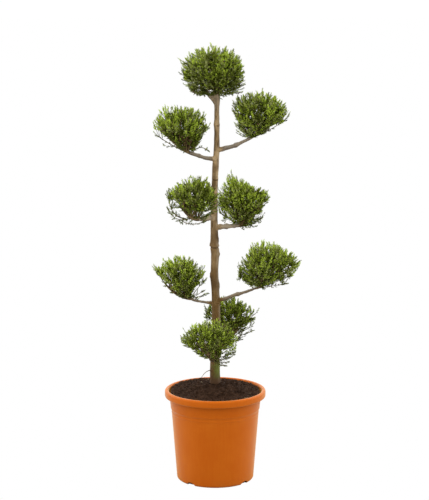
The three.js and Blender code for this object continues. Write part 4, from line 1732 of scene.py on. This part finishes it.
@dataclass
class Pompon:
    """One clipped clump: a stem, twigs that fan out of it, finer twigs, and a plume of sprays on each.

    Pairs are a least and a greatest value, or the radii at a twig's foot and its tip. Shades and splays go
    by the kind of plume: how much painted shade darkens its tints, and the angle in degrees at which its
    first sprays leave it.
    """

    plan: PomponPlan
    foot: Array
    leave: Array
    base_radius: float
    patterns: list[SprayPattern]
    seed: int
    main_twigs: int = 30
    main_shares: Pair = (0.5, 0.72)
    outer_plumes: int = 325
    outer_shares: Pair = (0.86, 0.94)
    inner_plumes: int = 150
    inner_shares: Pair = (0.35, 0.82)
    usual_bulk: float = 19_000.0
    twig_steps: int = 13
    plume_sprays: int = 10
    plume_crowding: float = 1.4
    plume_length: Pair = (36.0, 62.0)
    plume_leafy: float = 0.9
    shades: tuple[float, ...] = (0.0, 0.6, 0.1, 0.3)
    splays: tuple[float, ...] = (34, 38, 38, 60)
    spray_size: Pair = (10.0, 15.0)
    spray_taper: float = 0.55
    spray_lengths: Pair = (0.75, 1.2)
    spray_bow: float = -0.06
    spray_clearance: float = 0.5
    spread_lift: float = 1.5
    spread_tip: float = 14
    spreads: Pair = (0.6, 1.3)
    tip_reach: Pair = (0.4, 0.75)
    inner_growth: float = 1.2
    stray_size: float = 9.0
    stray_depths: Pair = (-0.35, 0.15)
    highest: float = 0.995
    lowest: float = -0.95
    rise_jitter: float = 0.04
    turn_jitter: float = 0.16
    bearer_choice: Pair = (0.8, 1.25)
    shoot_share: float = 0.16
    shoot_reach: Pair = (2.5, 7.5)
    shoot_upward: float = 25
    gap_size: float = 17.0
    gap_depth: float = 2.5
    gap_start: float = 0.66
    slit_length: float = 1.8
    slit_width: float = 0.8
    slit_roughness: float = 1.5
    slit_rough_size: float = 8
    open_below: float = 0.45
    open_fade: float = 1.2
    sparse: float = 0.55
    fan_drop: float = 6.0
    clearance: float = 3.0
    stem_radius: float = 1.8
    stem_outward: float = 0.55
    stem_drop: float = 0.3
    stem_lead: float = 0.4
    stem_steps: int = 14
    fork_start: float = 8.0
    fork_layers: int = 3
    fork_leafy: float = 0.8
    fork_tip_radius: float = 0.7
    main_radii: Pair = (2.3, 0.75)
    stalk_radii: Pair = (0.9, 0.45)
    stalk_stride: int = 4
    stem_sides: int = 10
    fork_sides: int = 8
    main_sides: int = 5
    stalk_sides: int = 3
    rule: GrowthRule = GrowthRule()
    light: LightRule = LightRule()

    def __post_init__(self) -> None:
        """Sets out the clump's space and its stream of random numbers."""
        self.clump = Clump(self.plan, self.foot, self.seed)
        self.rng = np.random.default_rng(self.seed)

    def stem(self) -> Array:
        """The stem's path: it carries on the limb's line and turns up inside the clump."""
        clump = self.clump
        if self.plan is TOP_PLAN:
            end = clump.middle + UP * self.stem_drop * clump.half_tall
        else:
            end = clump.middle + heading(self.plan.azimuth) * self.stem_outward * clump.half_width
            end = end - UP * self.stem_drop * clump.half_tall
        lead = self.foot + self.leave * self.stem_lead * lengths(end - self.foot)
        return curve(self.foot, lead, end, self.stem_steps)

    def placed(self, place: Pair, depth: float) -> Array:
        """The point at a depth that the camera sees at a place across and up."""
        return carried(np.array([[place[0], 0.0, place[1]]]), depth)[0]

    def forks(self) -> Array:
        """The side limbs that leave the stem at its foot, as limbs by points by 3."""
        depth = self.clump.middle[1]
        paths = []
        for fork in self.plan.forks:
            start = self.foot - self.leave * self.fork_start
            if fork.root:
                start = self.placed(fork.root, mix(start[1], depth, 0.5))
            lead = self.placed(fork.lead, mix(start[1], depth, 0.5))
            paths.append(curve(start, lead, self.placed(fork.end, depth), self.twig_steps))
        return np.array(paths)

    def spiral(self, count: int, shares: Pair) -> Array:
        """Tips spread evenly over the clump, at shares of the way to its outside between two."""
        number = np.arange(count)
        rise = mix(self.highest, self.lowest, (number + 0.5) / count)
        rise = np.clip(rise + self.rng.normal(0, self.rise_jitter, count), -1, 0.999)
        level = np.sqrt(1 - rise**2)
        turn = number * GOLDEN_ANGLE + self.rng.normal(0, self.turn_jitter, count)
        directions = np.column_stack([level * np.cos(turn), level * np.sin(turn), rise])
        share = self.rng.uniform(*shares, count)[:, None]
        return mix(self.clump.middle, self.clump.outside(directions), share)

    def rise(self, points: Array) -> Array:
        """How high in the clump points are, from -1 to 1."""
        return (points[:, 2] - self.clump.middle[2]) / self.clump.half_tall

    def thinned(self, tips: Array, gappy: bool) -> Array:
        """Tips less those where the clump is open: underneath, and in small gaps where it is gappy."""
        gaps = smooth_noise(tips / [1, self.gap_depth, 1], self.gap_size, self.seed + 5)
        open_here = self.plan.openness * np.clip((self.open_below - self.rise(tips)) / self.open_fade, 0, 1)
        kept = self.rng.uniform(0, 1, len(tips)) > open_here * self.sparse
        dense = mix(1, self.gap_start, self.plan.openness) * (1 - open_here) + (not gappy)
        return tips[kept & (gaps < dense)]

    def strays(self) -> Array:
        """The tips of the plumes that stand out of the clump, near the depth of its middle."""
        shares = self.rng.uniform(*self.stray_depths, len(self.plan.strays))
        depths = self.clump.middle[1] + shares * self.clump.half_width
        return np.array([self.placed(stray[:2], depth) for stray, depth in zip(self.plan.strays, depths)])

    def parents(self, bearers: Array, tips: Array) -> Array:
        """For each tip, the place in a list of the path that ends nearest to it."""
        gaps = lengths(tips[:, None] - bearers[None, :, -1])
        gaps *= self.rng.uniform(*self.bearer_choice, gaps.shape)
        return gaps.argmin(axis=1)

    def clear(self, points: Array, beads: Beads, clearance: float) -> Array:
        """Whether points keep clear of all limbs."""
        middle, radius = beads
        near = lengths(middle - self.clump.middle) < self.plan.width + radius
        gaps = lengths(points[:, None] - middle[near]) - radius[near]
        return gaps.min(axis=1) > clearance

    def clear_paths(self, paths: Array, beads: Beads) -> Array:
        """Whether the outer parts of paths keep clear of all limbs."""
        outer = paths[:, paths.shape[1] // 3 :]
        return self.clear(outer.reshape(-1, 3), beads, self.clearance).reshape(len(paths), -1).all(axis=1)

    def shooting(self, tips: Array) -> Array:
        """Tips, some of which shoot out past the clipped outline."""
        shoots = self.rng.uniform(0, 1, len(tips)) < self.shoot_share
        out = self.rng.uniform(*self.shoot_reach, len(tips)) * shoots
        return tips + unit(tips - self.clump.middle + UP * self.shoot_upward) * out[:, None]

    def plumes(self, bearers: Array, source: Array, beads: Beads) -> tuple[Array, ...]:
        """The axes of the plumes.

        Args:
            bearers: The paths of the twigs that bear them.
            source: The place that all tips point away from.
            beads: Beads along all limbs, which they keep clear of.

        Returns:
            Their paths, their bearers' places, their kinds, the leafy share of each and
            the length of its longest sprays.
        """
        bulk = self.plan.width * self.plan.tall / self.usual_bulk
        outer = self.thinned(self.spiral(round(self.outer_plumes * bulk), self.outer_shares), True)
        outer = self.shooting(outer)
        inner = self.thinned(self.spiral(round(self.inner_plumes * bulk), self.inner_shares), False)
        strays = self.strays()
        tips = np.concatenate([outer, inner, strays])
        parents = self.parents(bearers, tips)
        axes = self.rule.twigs(bearers[parents], tips, self.twig_steps, source)
        kinds = np.repeat([Plume.OUTER, Plume.INNER, Plume.STRAY], [len(outer), len(inner), len(strays)])
        wanted = self.clear_paths(axes, beads)
        axes = axes[wanted]
        length = lengths(np.diff(axes, axis=1)).sum(axis=1)
        leafy = np.minimum(self.rng.uniform(*self.plume_length, len(axes)) / length, self.plume_leafy)
        size = self.rng.uniform(*self.spray_size, len(wanted))
        size[kinds == Plume.INNER] *= self.inner_growth
        size[kinds == Plume.STRAY] = [[*stray, self.stray_size][2] for stray in self.plan.strays]
        return axes, parents[wanted], kinds[wanted], leafy, size[wanted]

    def sprays_on(self, axes: Array, leafy: Array, size: Array, splay: Array) -> tuple[Array, Array, Array]:
        """Sprays all round the leafy ends of axes, shorter and steeper towards their tips.

        Args:
            axes: Paths, as axes by points by 3.
            leafy: The leafy share of each axis, from its tip down.
            size: The length of the longest sprays of each axis.
            splay: The angle in degrees at which the first sprays of each axis leave it.

        Returns:
            The sprays' bases and tips, and how far along the leafy end each is, as axes by sprays.
        """
        place = 1 - np.linspace(1, 0, self.plume_sprays) ** self.plume_crowding
        share = 1 - leafy[:, None] * (1 - place)
        base, ahead = along(axes, share)
        flat = flat_across(ahead)
        turn = np.arange(len(place)) * GOLDEN_ANGLE + self.rng.uniform(0, 2 * math.pi, (len(axes), 1))
        side = flat * np.cos(turn)[..., None] + np.cross(flat, ahead) * np.sin(turn)[..., None]
        spread = np.tan(np.radians(mix(splay[:, None], self.spread_tip, place**self.spread_lift)))
        spread = spread * self.rng.uniform(*self.spreads, share.shape)
        length = size[:, None] * mix(1, self.spray_taper, place)
        length = length * self.rng.uniform(*self.spray_lengths, share.shape)
        tip = base + unit(ahead + side * spread[..., None]) * length[..., None]
        return base, tip, np.broadcast_to(place, share.shape)

    def seen_through(self, points: Array) -> Array:
        """Whether points are in one of the gaps that let the sky through, which are slits from the foot."""
        seen = carried(points, 0.0)[:, [0, 2]]
        rough = smooth_noise(points, self.slit_rough_size, self.seed + 3) * self.slit_roughness
        through = np.zeros(len(points), bool)
        for across, up, radius in self.plan.gaps:
            away = seen - [across, up]
            along, up_along = unit(np.array([across, up]) - self.foot[[0, 2]])
            length = (away @ [along, up_along]) / self.slit_length
            through |= np.hypot(length, away @ [-up_along, along] / self.slit_width) < radius + rough
        return through

    def tints(self, tips: Array, light: Array) -> tuple[Array, Array]:
        """The tints of sprays and of their tips, as places in Tint's order."""
        fresh_lit, bright, mid, deep, pale, olive, dead = range(len(Tint))
        rule, rise = self.light, self.rise(tips)
        patches = rule.by_patch * smooth_noise(tips, rule.patch_size, self.seed + 9)
        # Painted light: lighter high in the clump and by the clump's own light, with random patches and
        # spray-by-spray differences.
        light = light + rule.by_rise * rise + patches + self.plan.light
        light += self.rng.normal(0, rule.by_spray, len(tips))
        # Lit and shaded copies of the green are dealt by that light, the lightest to lit new tips.
        body = np.select([light > step for step in rule.body_steps], [bright, mid], deep)
        outer = np.select([light > step for step in rule.tip_steps], [fresh_lit, bright, mid], deep)
        # Some sprays show their undersides: lit tints go to the pale copy, the mid tint to the olive,
        # shaded copy.
        over = smooth_noise(tips, rule.underside_size, self.seed + 11) - rule.underside_fall * rise
        over = over + self.rng.normal(0, rule.underside_chance, len(tips)) > rule.underside_step
        undersides = np.array([pale, pale, olive, deep])
        body, outer = (np.where(over, undersides[tint], tint) for tint in (body, outer))
        chance = np.where(rise < rule.dry_rise, rule.dry_low, rule.dry_high)
        for across, up, radius in self.plan.dry_spots:
            near = np.hypot(tips[:, 0] - across, tips[:, 2] - up) < radius
            chance = np.where(near & (tips[:, 1] < self.clump.middle[1]), rule.dry_spot, chance)
        dry = self.rng.uniform(0, 1, len(tips)) < chance
        return np.where(dry, dead, body), np.where(dry, dead, outer)

    def grow(self, beads: Beads) -> tuple[list[tuple], tuple, Sprays]:
        """Grows the clump.

        Args:
            beads: Beads along all limbs, which twigs and sprays keep clear of.

        Returns:
            The wood and the green stalks, as paths with radii and sides, and the sprays.
        """
        stem, forks = self.stem(), self.forks()
        source = self.foot - UP * self.fan_drop
        tips = self.spiral(self.main_twigs, self.main_shares)
        stems = np.broadcast_to(stem, (len(tips), *stem.shape))
        mains = self.rule.twigs(stems, tips, self.twig_steps, source)
        mains = mains[self.clear_paths(mains, beads)]
        bearers = np.concatenate([mains, forks])
        axes, parents, kinds, leafy, size = self.plumes(bearers, source, beads)
        stalks = axes[:, :: self.stalk_stride]
        axes = np.concatenate([axes, *[forks] * self.fork_layers])
        leafy = np.concatenate([leafy, np.full(len(axes) - len(leafy), self.fork_leafy)])
        size = np.concatenate([size, [fork.spray for fork in self.plan.forks * self.fork_layers]])
        kinds = np.concatenate([kinds, np.full(len(axes) - len(kinds), Plume.FORK)])
        base, tip, place = self.sprays_on(axes, leafy, size, np.array(self.splays)[kinds])
        rule = self.light
        # Painted shade darkens inner plumes, strays and forks by kind, and painted light grows towards each
        # plume's tip.
        light = self.rng.normal(0, rule.by_plume, len(axes)) - np.array(self.shades)[kinds]
        light[: len(parents)] += self.rng.normal(0, rule.by_bearer, len(bearers))[parents]
        light = (light[:, None] + rule.along * (place - rule.along_middle)).ravel()
        base, tip = base.reshape(-1, 3), tip.reshape(-1, 3)
        wanted = np.ones(len(tip), bool)
        for points in (mix(base, tip, 0.5), tip):
            wanted &= self.clear(points, beads, self.spray_clearance)
        for points in (base, mix(base, tip, 0.5), tip):
            wanted &= ~self.seen_through(points)
        base, tip, light = base[wanted], tip[wanted], light[wanted]
        bow = UP * self.spray_bow * lengths(tip - base)[:, None]
        roll = self.rng.uniform(0, math.pi, len(tip))
        pattern = self.rng.integers(0, len(self.patterns), len(tip))
        sprays = Sprays(base, tip, bow, roll, *self.tints(tip, light), pattern)
        girths = self.base_radius * np.array([[fork.girth] for fork in self.plan.forks])
        wood = [
            (stem[None], np.linspace(self.base_radius, self.stem_radius, len(stem)), self.stem_sides),
            (forks, mix(girths, self.fork_tip_radius, np.linspace(0, 1, forks.shape[1])), self.fork_sides),
            (mains, np.linspace(*self.main_radii, mains.shape[1]), self.main_sides),
        ]
        stalk_radii = np.linspace(*self.stalk_radii, stalks.shape[1])
        return wood, (stalks, stalk_radii, self.stalk_sides), sprays

    def dress(self, beads: Beads, leaves: dict[Tint, Material], bark: Material) -> None:
        """Makes the clump's pieces: its twigs, its green stalks, and its leaves by tint."""
        node = f"pompon_{self.plan.name}"
        wood, stalks, sprays = self.grow(beads)
        twigs = Mesher()
        for paths, radii, sides in wood:
            twigs.add(*tubes(paths, radii, sides))
        piece_of(twigs.mesh(f"{node}_twigs"), bark, (node,))
        piece_of(mesh_of(f"{node}_stalks", *tubes(*stalks)), leaves[Tint.DEEP], (node,))
        foliage = {tint: Mesher() for tint in Tint}
        for number, pattern in enumerate(self.patterns):
            rows = np.flatnonzero(sprays.pattern == number)
            points = sprays.points(rows, pattern)
            is_tip = pattern.outer[None] > self.rng.uniform(*self.tip_reach, (len(rows), 1))
            tints = np.where(is_tip, sprays.tip_tint[rows, None], sprays.tint[rows, None])
            for place, tint in enumerate(Tint):
                kites = points[tints == place]
                foliage[tint].add(kites, SprayPattern.FACES + 4 * np.arange(len(kites))[:, None, None])
        for tint, mesher in foliage.items():
            if mesher.count:
                mesh = mesher.mesh(f"{node}_leaves_{tint.name.lower()}")
                piece_of(mesh, leaves[tint], (node,), smooth=False)


# Studio

@dataclass
class Studio:
    """A pale floor, soft light from above and the sides, and the camera at the photograph's angle."""

    floor_half: float = 40_000.0
    floor_drop: float = 0.2
    camera_pitch: float = 9.83
    camera_lens: float = 119.95
    zenith: float = 2.9
    sides: float = 2.7
    horizon: float = 1.35
    front: float = 0.45
    overhead: Pair = (-0.05, 0.95)
    behind: Pair = (-0.95, 0.25)
    beside: Pair = (0.3, 0.95)
    backdrop: float = 1.02
    camera_clip: float = 200.0

    def build_floor(self, finish: FloorFinish) -> None:
        """Makes the floor."""
        half = self.floor_half
        corners = np.array([[-half, -half, 0], [half, -half, 0], [half, half, 0], [-half, half, 0]])
        mesh = mesh_of("studio_floor", corners - UP * self.floor_drop, np.array([[0, 1, 2, 3]]))
        mesh.materials.append(finish.material())
        floor = linked(mesh.name, mesh)

    def build_light(self) -> None:
        """Makes the sky of soft light: brightest overhead, dimmer in front, and white to the camera."""
        world = bpy.data.worlds.new("studio_light")
        world.use_nodes = True
        bpy.context.scene.world = world
        tree = NodeTree(world.node_tree)
        way = tree.node("ShaderNodeTexCoord").outputs["Generated"]
        upward = tree.axis(way, "Z").rise(*self.overhead)
        ahead = tree.axis(way, "Y").rise(*self.behind)
        across = tree.axis(way, "X")
        aside = (across * across).rise(*self.beside)
        level = self.front + ahead * (self.horizon - self.front)
        level = level + aside * (self.sides - level)
        light = level + upward * (self.zenith - level)
        seen = Field(tree, tree.node("ShaderNodeLightPath").outputs["Is Camera Ray"])
        strength = light + seen * (self.backdrop - light)
        background = world.node_tree.nodes["Background"]
        tree.feed(background.inputs["Color"], WHITE)
        tree.feed(background.inputs["Strength"], strength)

    def build_camera(self) -> None:
        """Makes the camera."""
        camera = bpy.data.cameras.new("photo_camera")
        camera.lens = self.camera_lens
        camera.clip_end = self.camera_clip
        viewer = linked(camera.name, camera)
        viewer.location = EYE * MM
        viewer.rotation_euler = (math.radians(90 - self.camera_pitch), 0, 0)
        bpy.context.scene.camera = viewer

    def build(self) -> None:
        """Sets up the studio."""
        self.build_floor(FloorFinish())
        self.build_light()
        self.build_camera()
        bpy.context.scene.view_settings.view_transform = "Standard"


SEED = 40
PATTERN_COUNT = 12


def main() -> None:
    """Builds the studio, the pot, the limbs and the foliage in order."""
    logging.basicConfig(level=logging.INFO, format="%(name)s: %(message)s")
    Studio().build()
    pot = Pot()
    pot.dress(PlasticFinish())
    Soil(pot).dress(SoilFinish())
    trunk = Trunk()
    boughs = [Bough(plan, trunk) for plan in PLANS]
    limbs = Limbs(trunk, boughs, Spur(trunk))
    limbs.dress(BarkFinish())
    Wisp().dress(TwigFinish("bark_wisp"))
    rng = np.random.default_rng(SEED)
    patterns = [SprayPattern(rng) for _ in range(PATTERN_COUNT)]
    leaves = {tint: LeafFinish(tint).material() for tint in Tint}
    bark = TwigFinish().material()
    beads = limbs.beads()
    tip = trunk.middle(trunk.tip_height)
    tip_radius = float(trunk.radius(trunk.tip_height))
    pompons = [Pompon(TOP_PLAN, tip, UP, tip_radius, patterns, SEED)]
    for number, bough in enumerate(boughs, SEED + 1):
        path, radii = bough.path(limbs.spacing)
        leave = unit(path[-1] - path[-2])
        pompons.append(Pompon(bough.plan, path[-1], leave, radii[-1], patterns, number))
    for pompon in pompons:
        pompon.dress(beads, leaves, bark)


if __name__ == "__main__":
    main()
